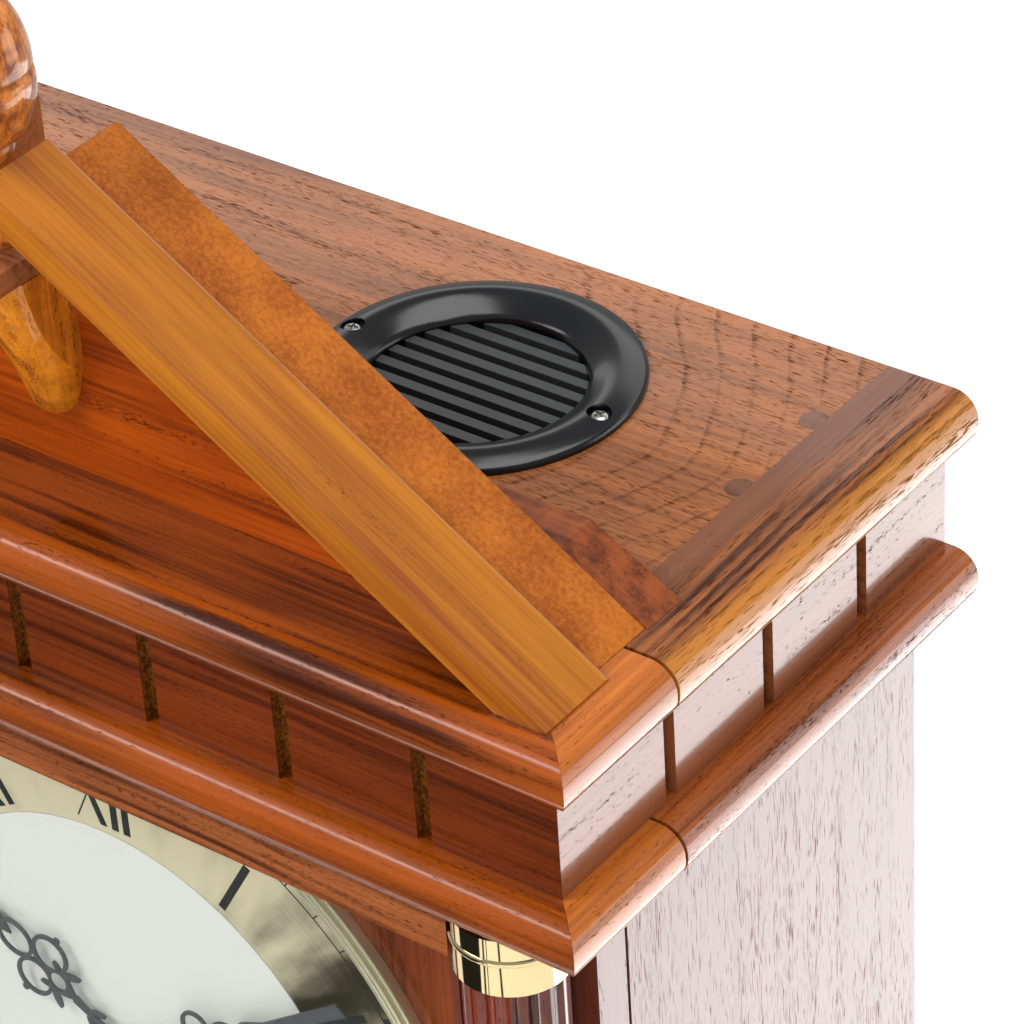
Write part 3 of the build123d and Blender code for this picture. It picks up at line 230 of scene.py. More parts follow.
def finish_oak(finish, point, axes, early, light, dark, pores, figure, burl, bands, dash):
    """Colour, pores and lacquer of oak whose dark ring bands are given as early.

    Pores are noise drawn out along the grain and cut off high. They crowd in the dark bands,
    and the lacquer is missing over them.
    """
    run, across, deep = axes
    streak = finish.noise(finish.vector(run * 0.02, across * 0.8, deep * 0.8), detail=4.0, roughness=0.65)
    cloud = finish.noise(finish.vector(run * 0.008, across * 0.07, deep * 0.07), detail=2.0)
    curl = finish.noise(point, scale=0.16, detail=5.0, roughness=0.65)
    speck = finish.noise(finish.vector(run * dash, across * 3.4, deep * 3.4), detail=1.0)
    crowd = finish.noise(finish.vector(run * 0.02, across * 0.4, deep * 0.4), detail=2.0)
    open_grain = speck + early * 0.12 + (crowd - 0.5) * 0.32 + (pores - 1) * 0.1
    hole = open_grain.step(0.66, 0.74)
    tone = 0.6 + (streak - 0.5) * 1.2 + (cloud - 0.5) * bands
    tone = tone + (curl - 0.5) * (2.5 * burl) - early * figure
    finish.wood = finish.mix(tone.step(0.0, 1.0), dark, light)
    finish.hole = hole
    finish.grained = finish.mix(hole * PORE_DARKNESS, finish.wood, PORE)
    edge = finish.node("ShaderNodeBevel", {"samples": 4}, {0: 0.35 * MM})
    finish.set(
        Base_Color=finish.grained,
        Roughness=0.36 + hole * 0.4,
        Coat_Weight=LACQUER - hole * LACQUER,
        Coat_Roughness=0.09,
        Normal=finish.bump(streak * 0.4 - open_grain.step(0.55, 0.85), 0.014, edge),
    )
    return finish


panel = oak(
    "side_panel_oak", rgb(116, 68, 52), rgb(94, 52, 38), ALONG_Z,
    pith=(40, -420), pitch=11.0, pores=0.75, dash=0.7,
)
point = panel.place()
run, across, deep = (panel.along(point, direction) for direction in ALONG_Z)
crowd = panel.noise(panel.vector(run * 0.012, across * 0.16, deep * 0.16), detail=2.0)
dash = panel.noise(panel.vector(run * 0.16, across * 3.2, deep * 3.2), detail=1.0)
dash = (dash + (crowd - 0.5) * 0.35).step(0.61, 0.67)
panel.set(
    Base_Color=panel.mix(dash, panel.wood, rgb(118, 58, 36)),
    Coat_Weight=LACQUER - dash * 0.72,
    Normal=panel.bump(dash * -1.0, 0.01),
)
dress(panel, "side_panel_left", "side_panel_right")
stile = oak(
    "stile_oak", rgb(118, 62, 44), rgb(98, 48, 34), ALONG_Z,
    pith=(40, -420), pitch=11.0, pores=0.1,
)
dress(stile, "front_stiles")

# ------------------------------------------------------- plinth, base and feet
# A mitred box frame under a base board with a bullnose edge, made of the
# same oak as the case. It stands on four round felt pads.
front_boards = oak(
    "front_board_oak", rgb(190, 88, 24), rgb(112, 40, 8), ALONG_X,
    pith=(-300, 60), pores=0.9,
)
dress(front_boards, "plinth_front", "base_front", "base_board", "bottom_rail")
side_boards = oak("side_board_oak", rgb(180, 98, 44), rgb(98, 44, 16), ALONG_Y, pith=(60, -300))
dress(side_boards, "base_sides", "cornice_sides")
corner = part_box("plinth_rails")[1] / MM
plinth = oak(
    "plinth_oak", rgb(170, 92, 42), rgb(96, 44, 18), ALONG_Y,
    pith=(60, -300), mitre=(corner.x, corner.y),
)
dress(plinth, "plinth_rails")


def mottled(name, first, second, scale, detail, rough, spread=0.0, relief=0.0, metallic=0.0):
    """Plain stuff whose colour, roughness and relief follow one smooth noise.

    Roughness = rough + spread x noise. The relief is relief millimetres deep.
    """
    finish = Finish(name, Metallic=metallic, Roughness=rough)
    cloud = finish.noise(finish.place(), scale=scale, detail=detail)
    finish.set(Base_Color=finish.mix(cloud, first, second))
    if spread:
        finish.set(Roughness=rough + cloud * spread)
    if relief:
        finish.set(Normal=finish.bump(cloud, relief))
    return finish


felt = mottled("felt_pad", rgb(18, 18, 18), rgb(52, 50, 48), scale=4.0, detail=4.0, rough=0.95, relief=0.3)
dress(felt, "feet")

# ---------------------------------------------------- front frame and columns
# Rails cross the opening over the glass, and a fluted column stands in each
# corner between two pressed brass caps.
rail = oak(
    "rail_oak", rgb(164, 92, 46), rgb(70, 30, 12), ALONG_X,
    pith=(-300, 20), pitch=2.6, pores=1.5, figure=0.5,
)
dress(rail, "top_rail")
turned = oak(
    "column_oak", rgb(134, 50, 20), rgb(58, 18, 7), ALONG_Z,
    pith=(60, 20), pitch=3.0, figure=0.6,
)
dress(turned, "column_left", "column_right")

brass = mottled(
    "polished_brass", rgb(222, 200, 148), rgb(236, 218, 172),
    scale=0.08, detail=2.0, rough=0.04, spread=0.04, metallic=1.0,
)
dress(brass, "column_caps")

# --------------------------------------------------- cornice, frieze and deck
# Bullnosed boards lie over and under a band with saw cuts 40 mm apart. The
# deck's nosing is mitred round the front, where a joint shows at each side.
def behind(finish, face):
    """1 in the saw cuts and sawn edges that lie behind a front face, whose y is in millimetres."""
    return (finish.along(finish.place(), Y) - face).step(0.15, 0.45)


frieze = oak(
    "frieze_oak", rgb(122, 52, 13), rgb(66, 22, 6), ALONG_X,
    pith=(-60, 20), pitch=5.0, figure=0.35,
)
frieze_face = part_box("frieze_front")[0].y / MM
sawn = frieze.noise(frieze.place(), scale=1.2, detail=3.0)
raw = frieze.mix(sawn.step(0.35, 0.65), rgb(74, 38, 10), rgb(132, 76, 24))
FRIEZE_LACQUER = 0.35
frieze.set(
    Base_Color=frieze.mix(behind(frieze, frieze_face), frieze.grained, raw),
    Coat_Weight=FRIEZE_LACQUER - frieze.hole * FRIEZE_LACQUER,
)
dress(frieze, "frieze_front")
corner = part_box("frieze_rails")[1] / MM
side_frieze = oak(
    "side_frieze_oak", rgb(150, 88, 54), rgb(112, 60, 34), ALONG_Y,
    pith=(60, -300), pores=0.8, mitre=(corner.x, corner.y),
)
dress(side_frieze, "frieze_rails")
nosing = oak(
    "nosing_oak", rgb(154, 72, 14), rgb(62, 22, 4), ALONG_X,
    pith=(-240, 280), pores=1.0, figure=0.5, bands=1.8,
)
nosing.set(Coat_Roughness=0.14)
dress(nosing, "nosing_front", "cornice_front", "cornice_board")
side_nosing = oak(
    "side_nosing_oak", rgb(160, 92, 42), rgb(66, 32, 16), ALONG_Y,
    pith=(150, 345), pitch=3.0, figure=0.5, pores=1.6, dash=0.2,
)
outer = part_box("nosing_sides")[1].x / MM
# A band along the nosing's outer edge is amber, and fades inwards.
EDGE_WIDTH, EDGE_FADE = 6, 4.0
band = (abs(side_nosing.along(side_nosing.place(), X)) - (outer - EDGE_WIDTH)).step(0.0, EDGE_FADE)
amber = side_nosing.mix(side_nosing.hole * 0.5, rgb(206, 132, 50), PORE)
side_nosing.set(Base_Color=side_nosing.mix(band * 0.75, side_nosing.grained, amber))
dress(side_nosing, "nosing_sides")
returns = oak("return_oak", rgb(200, 112, 42), rgb(124, 58, 18), ALONG_Y, pith=(100, 260), pores=0.7)
dress(returns, "corner_returns")
strip = oak(
    "strip_oak", rgb(124, 74, 46), rgb(88, 50, 30), ALONG_Y,
    pith=(100, -200), pitch=8.0, pores=0.5, figure=0.1,
)
dress(strip, "top_strips")
plug = oak(
    "plug_oak", rgb(116, 70, 44), rgb(76, 42, 24), ALONG_Z,
    pith=(100, -200), pores=0.9, burl=0.5,
)
dress(plug, "screw_plugs")

# The deck's rings climb towards its right-hand end, so they close in arches.
deck = Finish("deck_oak", IOR=1.5)
point = deck.place()
run, across, deep = (deck.along(point, direction) for direction in ALONG_X)
deck.set(Specular_IOR_Level=0.06)
wander = deck.noise(deck.vector(run * 0.012, across * 0.03, 0.0), detail=3.0)
climb = ((run - 30).most(0.0) ** 1.5) * 0.12
phase = (((across - 22) ** 2.0 + 300).root() + climb + wander * 22.0) / 17.0
fade = deck.noise(point, scale=0.03, detail=2.0).step(0.3, 0.6)
early = phase.part().step(0.0, 0.05) * (1 - phase.part().step(0.07, 0.24)) * (fade * 0.7 + 0.3) * 0.8
finish_oak(
    deck,
    point,
    (run, across, deep),
    early,
    light=rgb(167, 99, 48),
    dark=rgb(90, 48, 25),
    pores=1.6,
    figure=0.16,
    burl=0.0,
    bands=1.0,
    dash=0.3,
)
dress(deck, "top_board")

# ------------------------------------------------------------------- pediment
# Two raking strips lie on a triangular board. The board's sloping edges show
# end grain, and a low block stands behind it.
# The rise of the pediment's sides over their run.
RAKE_SLOPE = 0.6162
slope = np.arctan(RAKE_SLOPE)
for side, strip_name in ((1, "rake_strip_right"), (-1, "rake_strip_left")):
    down = (side * np.cos(slope), 0.0, -np.sin(slope))
    out = (side * np.sin(slope), 0.0, np.cos(slope))
    rake = oak(
        strip_name + "_oak",
        rgb(184, 111, 22),
        rgb(134, 64, 14),
        (down, Y, out),
        pith=(-180, 120),
        pitch=9.0,
        pores=-0.2,
        figure=0.3,
        bands=1.4,
    )
    dress(rake, strip_name)
tympanum = oak(
    "tympanum_oak", rgb(188, 82, 5), rgb(104, 34, 2), ALONG_X,
    pith=(-60, 330), pitch=12.0, pores=0.7, figure=0.2,
)
tympanum_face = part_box("tympanum")[0].y / MM
dots = tympanum.noise(tympanum.place(), scale=0.8, detail=5.0, roughness=0.75)
cloud = tympanum.noise(tympanum.place(), scale=0.06, detail=2.0)
end_grain = tympanum.mix((dots + (cloud - 0.5) * 0.6).step(0.2, 0.8), rgb(134, 64, 20), rgb(188, 109, 38))
TYMPANUM_LACQUER = 0.22
tympanum.set(
    Base_Color=tympanum.mix(behind(tympanum, tympanum_face), tympanum.grained, end_grain),
    Coat_Weight=TYMPANUM_LACQUER - tympanum.hole * TYMPANUM_LACQUER,
)
dress(tympanum, "tympanum")
backing = oak(
    "backing_oak", rgb(144, 71, 27), rgb(80, 32, 12), ALONG_X,
    pith=(-20, 330), pitch=5.0, pores=0.5, burl=0.6,
)
dress(backing, "backing_block")

# --------------------------------------------------- corbel, abacus and finial
# A turned half corbel carries a small square abacus with a turned finial. The
# grain stands upright in the turned pieces and lies across in the abacus.
ornament = oak(
    "ornament_oak", rgb(224, 134, 52), rgb(120, 52, 14), ALONG_Z,
    pith=(60, -140), pitch=7.0, pores=0.2, figure=0.1, burl=1.0,
)
dress(ornament, "finial")
bracket = oak(
    "bracket_oak", rgb(226, 138, 30), rgb(160, 84, 20), ALONG_Z,
    pith=(60, -140), pores=1.0, burl=0.4,
)
dress(bracket, "corbel")
cap_board = oak(
    "abacus_oak", rgb(162, 99, 62), rgb(104, 54, 30), ALONG_X,
    pith=(-240, 300), pores=0.8, burl=0.4,
)
dress(cap_board, "abacus")

# ------------------------------------------------------------------- dial
# A spun metal ring, plated pale gold and brushed round its centre, lies round
# a satin white disc. Numerals and the minute track are printed in black.
dial_low, dial_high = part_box("chapter_ring")
DIAL_X = 0.5 * (dial_low.x + dial_high.x)
DIAL_Z = 0.5 * (dial_low.z + dial_high.z)
DIAL_FACE = dial_low.y
DIAL_CENTRE = (DIAL_X, DIAL_Z)

board = oak("dial_board_oak", rgb(150, 72, 36), rgb(84, 34, 14), ALONG_Z, pith=(60, -320), pores=0.4)
dress(board, "dial_board")

gold = Finish("brushed_gold", Metallic=0.2)
x, z, radius = gold.round_centre(gold.place(), X, Z, DIAL_CENTRE)
turning = gold.noise(gold.vector(radius * 2.2, 0.0, 0.0), detail=4.0, roughness=0.8)
# Brushing round the centre spreads the light along each radius. Here this is
# painted into the colour: painted highlight fans above and below the centre,
# and painted dark reflections at its sides. The small addition keeps the
# centre itself from a division by nothing.
reach = radius + 0.01
aspect = z / reach
# Noise that wobbles the edges of the painted highlight fans.
painted_fan_wobble = gold.noise(gold.vector(x / reach, aspect, radius * 0.004), scale=6.0, detail=3.0)
# 1 in the painted highlight fans above and below the centre, 0 in the painted dark reflections at the sides.
painted_fan_light = (abs(aspect) + (painted_fan_wobble - 0.5) * 0.8 + (turning - 0.5) * 0.5).step(0.5, 0.92)
gold.set(
    # The colour goes from painted dark reflection to painted highlight.
    Base_Color=gold.mix(painted_fan_light, rgb(58, 53, 34), rgb(228, 218, 186)),
    Roughness=0.36 + turning * 0.12,
    Normal=gold.bump(turning, 0.01),
)
dress(gold, "chapter_ring")

white = Finish("white_disc", Roughness=0.4)
grainy = white.noise(white.place(), scale=0.6, detail=3.0)
radius = white.round_centre(white.place(), X, Z, DIAL_CENTRE)[2]
# Going outwards, the disc steps down a little twice, each time between two radii.
INNER_STEP, OUTER_STEP = (63.6, 64.4), (70.4, 70.9)
ledge = radius.step(*INNER_STEP) + radius.step(*OUTER_STEP)
white.set(
    Base_Color=white.mix(grainy, rgb(224, 225, 221), rgb(228, 229, 226)),
    Roughness=0.38 + grainy * 0.08,
    Normal=white.bump(ledge * -0.5, 0.12),
)
dress(white, "centre_disc")

bezel = mottled(
    "bezel_brass", rgb(222, 217, 182), rgb(238, 233, 202),
    scale=0.05, detail=2.0, rough=0.28, spread=0.06, metallic=0.7,
)
bezel_low, bezel_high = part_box("bezel")
BEZEL_OUTER = (bezel_high.x - bezel_low.x) / 2 / MM
BEZEL_INNER = (dial_high.x - dial_low.x) / 2 / MM + 0.2
BEZEL_HEIGHT = (bezel_high.y - bezel_low.y) / MM
BEZEL_STEPS = 480
# Each bead's start and end as shares of the ring's width, and how far its foot lies below the top.
BEADS = ((0.02, 0.40, 1.5), (0.40, 0.76, 0.9), (0.76, 1.0, 2.0))
BEAD_RISE, BEAD_POINTS = 0.9, 9
SHARP_ANGLE = 0.6


def bezel_profile():
    """The ring's section as (radius, height) points.

    Three beads lie side by side between an inner and an outer wall. Each is half an ellipse:
    radius = middle + half its width x cosine, height = foot + rise x sine.
    """
    points = [(BEZEL_INNER, 0.0), (BEZEL_INNER, BEZEL_HEIGHT - BEADS[0][2])]
    width = BEZEL_OUTER - BEZEL_INNER
    for start, end, low in BEADS:
        middle, half = (start + end) / 2 * width, (end - start) / 2 * width
        foot = BEZEL_HEIGHT - low
        for turn in np.linspace(np.pi, 0.0, BEAD_POINTS):
            across = BEZEL_INNER + middle + half * np.cos(turn)
            points.append((across, foot + BEAD_RISE * np.sin(turn)))
    return np.array(points + [(BEZEL_OUTER, 0.0)])


def piece(name, points, faces, finish):
    """A new object with its own mesh, in one finish."""
    mesh = bpy.data.meshes.new(name)
    mesh.from_pydata(points, [], faces)
    mesh.materials.append(finish.material)
    made = bpy.data.objects.new(name, mesh)
    bpy.context.scene.collection.objects.link(made)
    return made


def revolved(name, profile, finish, back, steps):
    """Closed ring swept round the dial's axis.

    x = radius x sine, z = radius x cosine, y = back less the height.
    """
    turn = np.linspace(0.0, 2 * np.pi, steps, endpoint=False)[:, None]
    radius, height = profile.T
    count = len(profile)
    flat = np.broadcast_to(back - height[None, :] * MM, (steps, count))
    x = DIAL_X + radius * np.sin(turn) * MM
    z = DIAL_Z + radius * np.cos(turn) * MM
    points = np.stack((x, flat, z), 2).reshape(-1, 3)
    around, along = np.meshgrid(np.arange(steps), np.arange(count), indexing="ij")
    following, onward = (around + 1) % steps, (along + 1) % count
    here, there = around * count, following * count
    corners = (here + along, here + onward, there + onward, there + along)
    faces = np.stack(corners, 2).reshape(-1, 4)
    made = piece(name, points.tolist(), faces.tolist(), finish)
    made.data.shade_smooth()
    made.data.set_sharp_from_angle(angle=SHARP_ANGLE)
    return made


ring = revolved("bezel_ring", bezel_profile(), bezel, bezel_high.y, BEZEL_STEPS)
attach(ring, "case")
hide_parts("bezel")

INK_THICKNESS = 0.04 * MM
NUMERALS = ["XII", "I", "II", "III", "IIII", "V", "VI", "VII", "VIII", "IX", "X", "XI"]
NUMERAL_FOOT, NUMERAL_HEAD = 74.0, 94.0
THICK, THIN, GAP = 2.3, 0.5, 1.5
LETTER_WIDTH = {"I": THICK, "V": 9.0, "X": 10.0}


def letter_strokes(letter):
    """Strokes of a Roman letter: (foot, head, width) across the letter, each from its foot to its head."""
    wide = LETTER_WIDTH[letter]
    if letter == "I":
        return [(wide / 2, wide / 2, THICK)]
    if letter == "V":
        return [(wide / 2, THICK / 2, THICK), (wide / 2 + THIN, wide - THIN / 2, THIN)]
    return [(wide - THICK / 2, THICK / 2, THICK), (THIN / 2, wide - THIN / 2, THIN)]


def numeral_corners():
    """Corners of every printed stroke, laid out at XII and turned by 30 degrees an hour."""
    corners = []
    out = np.array([NUMERAL_FOOT, NUMERAL_FOOT, NUMERAL_HEAD, NUMERAL_HEAD])
    for hour, numeral in enumerate(NUMERALS):
        width = sum(LETTER_WIDTH[letter] for letter in numeral) + GAP * (len(numeral) - 1)
        start = -width / 2
        turn = np.radians(30.0 * hour)
        for letter in numeral:
            for foot, head, stroke in letter_strokes(letter):
                ends = np.array([foot, foot, head, head])
                sides = np.array([-stroke, stroke, stroke, -stroke]) / 2
                across = start + ends + sides
                right = across * np.cos(turn) + out * np.sin(turn)
                up = out * np.cos(turn) - across * np.sin(turn)
                corners.append(np.stack((right, up), 1))
            start += LETTER_WIDTH[letter] + GAP
    return np.array(corners)


def arc_corners(inner, outer, start, end, pieces):
    """Cells of a flat ring between two radii, from one clock angle to another, in degrees."""
    turn = np.radians(np.linspace(start, end, pieces + 1))
    low, high = turn[:-1], turn[1:]
    cells = [(inner, low), (inner, high), (outer, high), (outer, low)]
    return np.stack([np.stack((size * np.sin(at), size * np.cos(at)), 1) for size, at in cells], 1)


def printed(name, corners, finish, face, thickness, body):
    """Thin closed plates, one for each row of four corners in millimetres on the dial's plane."""
    count = len(corners)
    flat = corners.reshape(-1, 2) * MM
    back = np.column_stack((DIAL_X + flat[:, 0], np.full(4 * count, face), DIAL_Z + flat[:, 1]))
    front = back - np.array([0.0, thickness, 0.0])
    points = np.concatenate((front, back))
    base = 4 * np.arange(count)[:, None]
    far = base + 4 * count
    a, b, c, d = (base + k for k in range(4))
    e, f, g, h = (far + k for k in range(4))
    ends = ((a, b, c, d), (h, g, f, e))
    walls = ((b, a, e, f), (c, b, f, g), (d, c, g, h), (a, d, h, e))
    faces = np.concatenate([np.hstack(corner) for corner in ends + walls])
    made = piece(name, points.tolist(), faces.tolist(), finish)
    made.data.validate()
    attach(made, body)


ink = mottled("dial_ink", rgb(34, 36, 36), rgb(48, 50, 50), scale=3.0, detail=2.0, rough=0.55)
printed("dial_numerals", numeral_corners(), ink, DIAL_FACE, INK_THICKNESS, "case")

TRACK_IN, TRACK_OUT, TRACK_LINE, TRACK_PIECES = 99.8, 103.0, 0.4, 240
# Half the width of a block at an hour and of a line at a minute, in degrees.
HOUR_HALF, MINUTE_HALF = 0.75, 0.12
track = [
    arc_corners(TRACK_IN, TRACK_IN + TRACK_LINE, 0, 360, TRACK_PIECES),
    arc_corners(TRACK_OUT - TRACK_LINE, TRACK_OUT, 0, 360, TRACK_PIECES),
]
for minute in range(60):
    half = HOUR_HALF if minute % 5 == 0 else MINUTE_HALF
    track.append(arc_corners(TRACK_IN, TRACK_OUT, 6 * minute - half, 6 * minute + half, 2))
printed("minute_track", np.concatenate(track), ink, DIAL_FACE, INK_THICKNESS, "case")

# ------------------------------------------------------------------- hands
# Both hands are blanked from thin steel and bronzed, which leaves them dull
# and grey, with a faint mottle.
hands = mottled(
    "bronzed_hands", rgb(86, 89, 93), rgb(114, 117, 121),
    scale=1.2, detail=3.0, rough=0.42, spread=0.12, metallic=0.4,
)
dress(hands, "hour_hand", "minute_hand")

# --------------------------------------------------------------------- glass
# A flat pane of clear glass stands before the hands. It reflects more the
# more it is seen from the side.
glass = Finish("clear_glass")
facing = glass.node("ShaderNodeLayerWeight", {}, {"Blend": 0.5}, 1)
fresnel = 0.04 + facing ** 5.0 * 0.96
clear = glass.node("ShaderNodeBsdfTransparent", {}, {0: (0.99, 0.995, 0.985, 1.0)})
shine = glass.node("ShaderNodeBsdfGlossy", {}, {"Roughness": 0.02})
pane = glass.node("ShaderNodeMixShader", {}, {0: fresnel, 1: clear, 2: shine})
glass.feed(glass.output.inputs["Surface"], pane)
dress(glass, "glass_pane")

# ------------------------------------------------------------------- speaker
# A glossy black moulded ring with ribs across its mouth is held by two
# plated cross-head screws over the chime's loudspeaker.
grille_low, grille_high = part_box("speaker_grille")
GRILLE_X = 0.5 * (grille_low.x + grille_high.x)
GRILLE_Y = 0.5 * (grille_low.y + grille_high.y)
# The radii between which the ring passes into its mouth, and how many lines of
# a fine crossed texture lie there in each millimetre.
MOUTH = (27.2, 27.5)
LINES_PER_MM = 2.2

black = Finish("black_ring")
point = black.place()
x, y, radius = black.round_centre(point, X, Y, (GRILLE_X, GRILLE_Y))
inside = 1 - radius.step(*MOUTH)
one_way = ((x + y) * LINES_PER_MM).part().step(0.2, 0.8)
other_way = ((x - y) * LINES_PER_MM).part().step(0.2, 0.8)
weave = one_way * 0.5 + other_way * 0.5
haze = black.noise(point, scale=0.15, detail=2.0)
black.set(
    Base_Color=black.mix(inside, rgb(9, 10, 13), rgb(46, 47, 48)),
    Roughness=0.16 + haze * 0.06 + inside * 0.30,
    Normal=black.bump(weave * inside, 0.03),
)
dress(black, "speaker_grille")

paper = mottled("paper_cone", rgb(10, 10, 10), rgb(26, 26, 26), scale=0.8, detail=4.0, rough=0.9, relief=0.1)
dress(paper, "speaker_cone")

SCREW_OFFSET = 37.1 * MM
SCREW_TURNS = ((-1, 0.3), (1, 1.1))
HEAD_RADIUS, HEAD_HEIGHT, HEAD_FALL = 2.4, 1.3, 0.55
SLOT_HALF_LENGTH, SLOT_HALF_WIDTH, SLOT_DEPTH, SLOT_WALL = 1.45, 0.32, 0.8, 0.12
screw_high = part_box("grille_screws")[1]


def slot_bar(across, along):
    """1 inside one bar of the cross and 0 outside it, with a sloping wall between."""
    wide = np.clip((SLOT_HALF_WIDTH - np.abs(across)) / SLOT_WALL + 0.5, 0, 1)
    long = np.clip((SLOT_HALF_LENGTH - np.abs(along)) / SLOT_WALL + 0.5, 0, 1)
    return wide * long


def screw_head():
    """A domed head whose height falls with the fourth power of the radius, less a crossed recess."""
    rings, spokes = 28, 72
    share = np.linspace(0.0, 1.0, rings)[:, None]
    turn = np.linspace(0.0, 2 * np.pi, spokes, endpoint=False)[None, :]
    x = HEAD_RADIUS * share * np.cos(turn)
    y = HEAD_RADIUS * share * np.sin(turn)
    dome = HEAD_HEIGHT * (1.0 - HEAD_FALL * share**4)
    z = dome - SLOT_DEPTH * np.maximum(slot_bar(x, y), slot_bar(y, x))
    top = np.stack((x, y, z), 2).reshape(-1, 3)
    rim = top[-spokes:].copy()
    rim[:, 2] = 0.0
    ring = np.arange(spokes)
    following = np.roll(ring, -1)
    faces = []
    for row in range(rings):
        inner, outer = row * spokes, (row + 1) * spokes
        corners = (inner + ring, outer + ring, outer + following, inner + following)
        faces.append(np.column_stack(corners))
    return np.concatenate((top, rim)), np.concatenate(faces)


zinc = mottled(
    "plated_screw", rgb(150, 148, 142), rgb(205, 203, 198),
    scale=1.5, detail=3.0, rough=0.2, spread=0.15, metallic=1.0,
)
points, faces = screw_head()
all_points, all_faces = [], []
for side, turn in SCREW_TURNS:
    spin = np.array([[np.cos(turn), -np.sin(turn), 0], [np.sin(turn), np.cos(turn), 0], [0, 0, 1]])
    place = np.array([GRILLE_X + side * SCREW_OFFSET, GRILLE_Y, screw_high.z - HEAD_HEIGHT * MM])
    all_faces.append(faces + len(points) * len(all_points))
    all_points.append((points @ spin.T) * MM + place)
all_points, all_faces = np.concatenate(all_points), np.concatenate(all_faces)
heads = piece("grille_screw_heads", all_points.tolist(), all_faces.tolist(), zinc)
weld = heads.modifiers.new("weld", "WELD")
weld.merge_threshold = 0.002 * MM
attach(heads, "case")
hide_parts("grille_screws")

# ------------------------------------------------------- movement and its case
# A battery movement in a black moulded case hangs behind the dial board, with
# two knobs, a switch and a sliding battery cover at its back.
moulding = mottled(
    "black_moulding", rgb(20, 20, 21), rgb(34, 34, 35),
    scale=2.5, detail=3.0, rough=0.5, spread=0.15, relief=0.08,
)
dress(moulding, "movement_case", "movement_cover", "battery_cover")
dress(moulding, "setting_knob", "volume_knob", "mode_switch")
circuit = Finish("circuit_board", Roughness=0.45)
mask = circuit.noise(circuit.place(), scale=0.25, detail=2.0)
circuit.set(Base_Color=circuit.mix(mask.step(0.45, 0.55), rgb(18, 84, 44), rgb(30, 104, 58)))
dress(circuit, "movement_plate")
gears = mottled(
    "moulded_gear", rgb(222, 220, 206), rgb(238, 236, 224),
    scale=0.5, detail=2.0, rough=0.4, spread=0.1,
)
dress(gears, "hour_wheel", "motion_wheel", "drive_pinion")
jacket = mottled(
    "battery_jacket", rgb(34, 36, 40), rgb(58, 60, 66),
    scale=0.4, detail=3.0, rough=0.3, spread=0.15,
)
dress(jacket, "batteries")
basket = mottled(
    "black_basket", rgb(22, 22, 22), rgb(40, 40, 40),
    scale=0.3, detail=3.0, rough=0.4, spread=0.15,
)
dress(basket, "speaker_frame")
dress(zinc, "movement_screws", "battery_contacts")
dress(brass, "minute_arbor", "hinge_pins", "hinge_leaves")

# ------------------------------------------------------------------ back door
# A thin board of the same stained oak, with upright grain, closes the back
# on two brass hinges.
door = oak(
    "door_oak", rgb(104, 58, 34), rgb(64, 32, 18), ALONG_Z,
    pith=(30, -500), pitch=6.0, pores=0.6,
)
dress(door, "back_door")

# -------------------------------------------------------------------- setting
# The clock stands on a pale matt floor in the soft light of big lamps. Where
# it is seen directly the floor is brightened, and more so far from the clock.
FLOOR = 6.0
GLOW_START, GLOW_END = 500, 2600
pale = Finish("pale_floor", Roughness=0.6)
dust = pale.noise(pale.place(), scale=0.02, detail=2.0)
seen = pale.node("ShaderNodeLightPath", {}, {})
reach = (pale.along(pale.place(), X) ** 2.0 + pale.along(pale.place(), Y) ** 2.0).root()
glow = pale.mix(reach.step(GLOW_START, GLOW_END), (0.4, 0.4, 0.4, 1), (0.8, 0.8, 0.8, 1))
pale.set(
    Base_Color=pale.mix(dust, rgb(244, 244, 244), rgb(248, 248, 248)),
    Emission_Color=pale.mix(seen, (0, 0, 0, 1), glow),
    Emission_Strength=1.0,
)
ground = [(-FLOOR, -FLOOR, 0), (FLOOR, -FLOOR, 0), (FLOOR, FLOOR, 0), (-FLOOR, FLOOR, 0)]
floor = piece("floor", ground, [(0, 1, 2, 3)], pale)

# A black card lies on the floor before the clock, so that its glass and its
# lacquered front show deep colours. Only reflections show the card.
# It is cut in strips, each from a left edge to a right one.
CARD_FRONT, CARD_BACK, CARD_LIFT = -3.0, -0.17, 0.002
CARD_STRIPS = ((-3.0, 0.0), (0.03, 0.05), (0.07, 0.08), (0.2, 0.22))
corners, cells = [], []
for left, right in CARD_STRIPS:
    cells.append(tuple(range(len(corners), len(corners) + 4)))
    corners += [(left, CARD_FRONT, CARD_LIFT), (right, CARD_FRONT, CARD_LIFT)]
    corners += [(right, CARD_BACK, CARD_LIFT), (left, CARD_BACK, CARD_LIFT)]
velvet = mottled(
    "black_velvet", (0.001, 0.001, 0.001, 1), (0.004, 0.004, 0.004, 1), scale=0.5, detail=2.0, rough=1.0
)
card = piece("black_card", corners, cells, velvet)
card.visible_camera = False
card.visible_diffuse = False
card.visible_shadow = False

# White light comes from all round. The world is brighter where it is seen
# directly, so that what lies behind the clock is white.
ROOM_LIGHT, ROOM_SEEN = 0.4, 1.0
world = bpy.data.worlds.new("studio")
bpy.context.scene.world = world
world.use_nodes = True
sky = world.node_tree
sky.nodes.clear()
rays = sky.nodes.new("ShaderNodeLightPath")
level = sky.nodes.new("ShaderNodeMapRange")
level.inputs["To Min"].default_value = ROOM_LIGHT
level.inputs["To Max"].default_value = ROOM_SEEN
backdrop = sky.nodes.new("ShaderNodeBackground")
backdrop.inputs["Color"].default_value = (1.0, 1.0, 1.0, 1.0)
sky_out = sky.nodes.new("ShaderNodeOutputWorld")
sky.links.new(rays.outputs["Is Camera Ray"], level.inputs["Value"])
sky.links.new(level.outputs["Result"], backdrop.inputs["Strength"])
sky.links.new(backdrop.outputs["Background"], sky_out.inputs["Surface"])


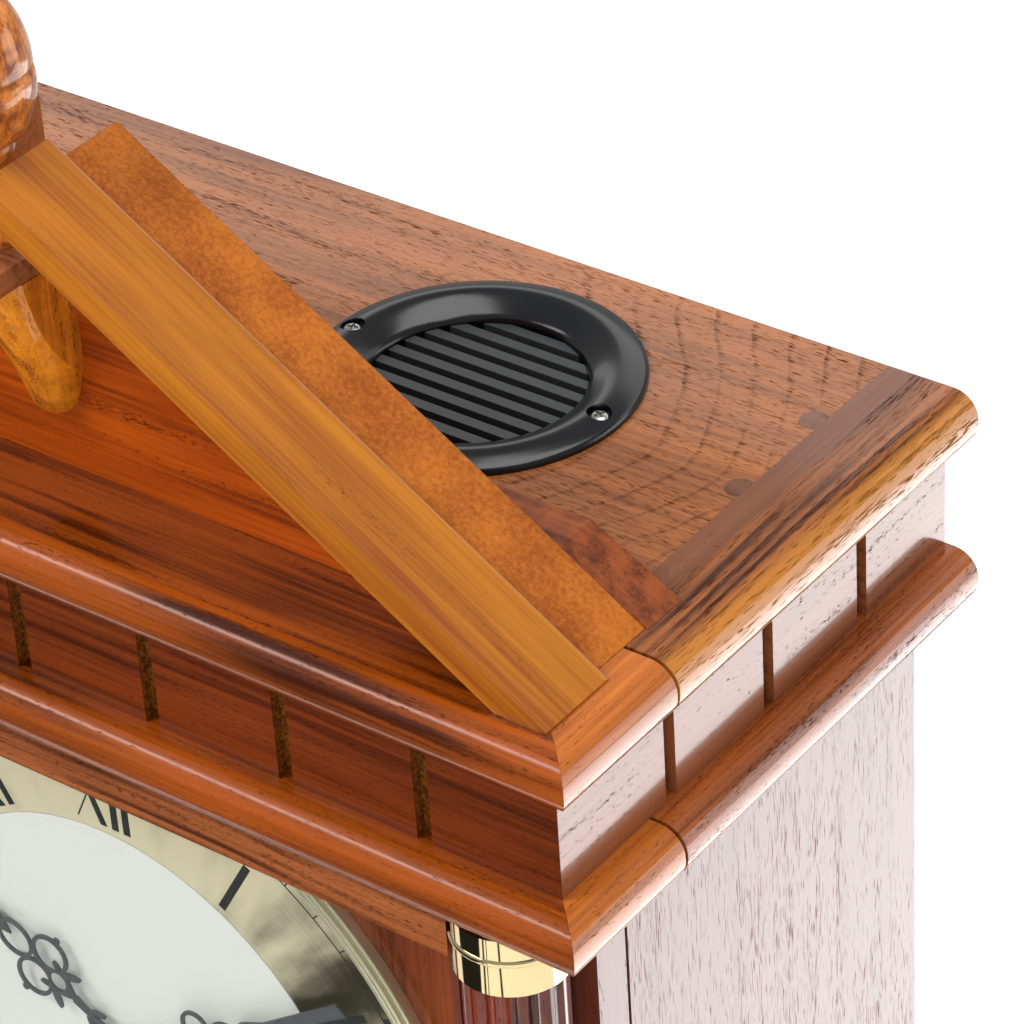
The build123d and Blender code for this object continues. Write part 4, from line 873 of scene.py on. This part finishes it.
def lamp(name, place, target, size, power, diffuse=True, shine=True):
    """A soft lamp of a width and height that points at a target.

    It gives matt light, reflections or both.
    """
    light = bpy.data.lights.new(name, "AREA")
    light.shape = "RECTANGLE"
    light.size, light.size_y = size
    light.energy = power
    made = bpy.data.objects.new(name, light)
    bpy.context.scene.collection.objects.link(made)
    aim = (Vector(target) - Vector(place)).to_track_quat("-Z", "Y").to_matrix().to_4x4()
    made.matrix_world = Matrix.Translation(place) @ aim
    made.visible_camera = False
    made.visible_diffuse = diffuse
    made.visible_glossy = shine


CENTRE = (0.0, 0.0, 0.25)
lamp("key_lamp", (-1.1, -1.3, 1.7), CENTRE, size=(1.0, 1.0), power=34.0, shine=False)
lamp("shine_lamp", (-1.1, -1.25, 1.6), CENTRE, size=(1.6, 0.26), power=9.0, diffuse=False)
lamp("fill_lamp", (0.9, -1.3, 0.9), CENTRE, size=(0.8, 0.8), power=8.0, shine=False)
lamp("top_lamp", (0.5, 0.1, 2.2), CENTRE, size=(1.6, 1.6), power=30.0)
lamp("side_lamp", (0.62, 0.5, 0.01), (0.62, 0.501, 1.0), size=(0.85, 0.9), power=10.5, diffuse=False)
lamp("wall_lamp", (1.3, 0.96, 0.38), (0.0, 0.0, 0.38), size=(0.9, 0.75), power=5.6, diffuse=False)
lamp("back_lamp", (-0.5, 0.8, 0.78), (-0.5, -1.0, 0.78), size=(2.4, 0.38), power=3.0, diffuse=False)

# The camera looks down on the right-hand end of the pediment.
LENS, FILM_WIDTH, NEAREST = 147.8, 36.0, 0.01
STAND = (0.59535, -0.6338, 0.8929)
RIGHT = Vector((0.8048, 0.5911, -0.0551))
UP = Vector((-0.3016, 0.487, 0.8197))
BACK = Vector((0.5113, -0.643, 0.5702))
data = bpy.data.cameras.new("camera")
data.lens = LENS
data.sensor_width = FILM_WIDTH
data.clip_start = NEAREST
camera = bpy.data.objects.new("camera", data)
bpy.context.scene.collection.objects.link(camera)
turn = Matrix((RIGHT, UP, BACK)).transposed().to_4x4()
camera.matrix_world = Matrix.Translation(STAND) @ turn
bpy.context.scene.camera = camera
bpy.context.scene.view_settings.view_transform = "Standard"
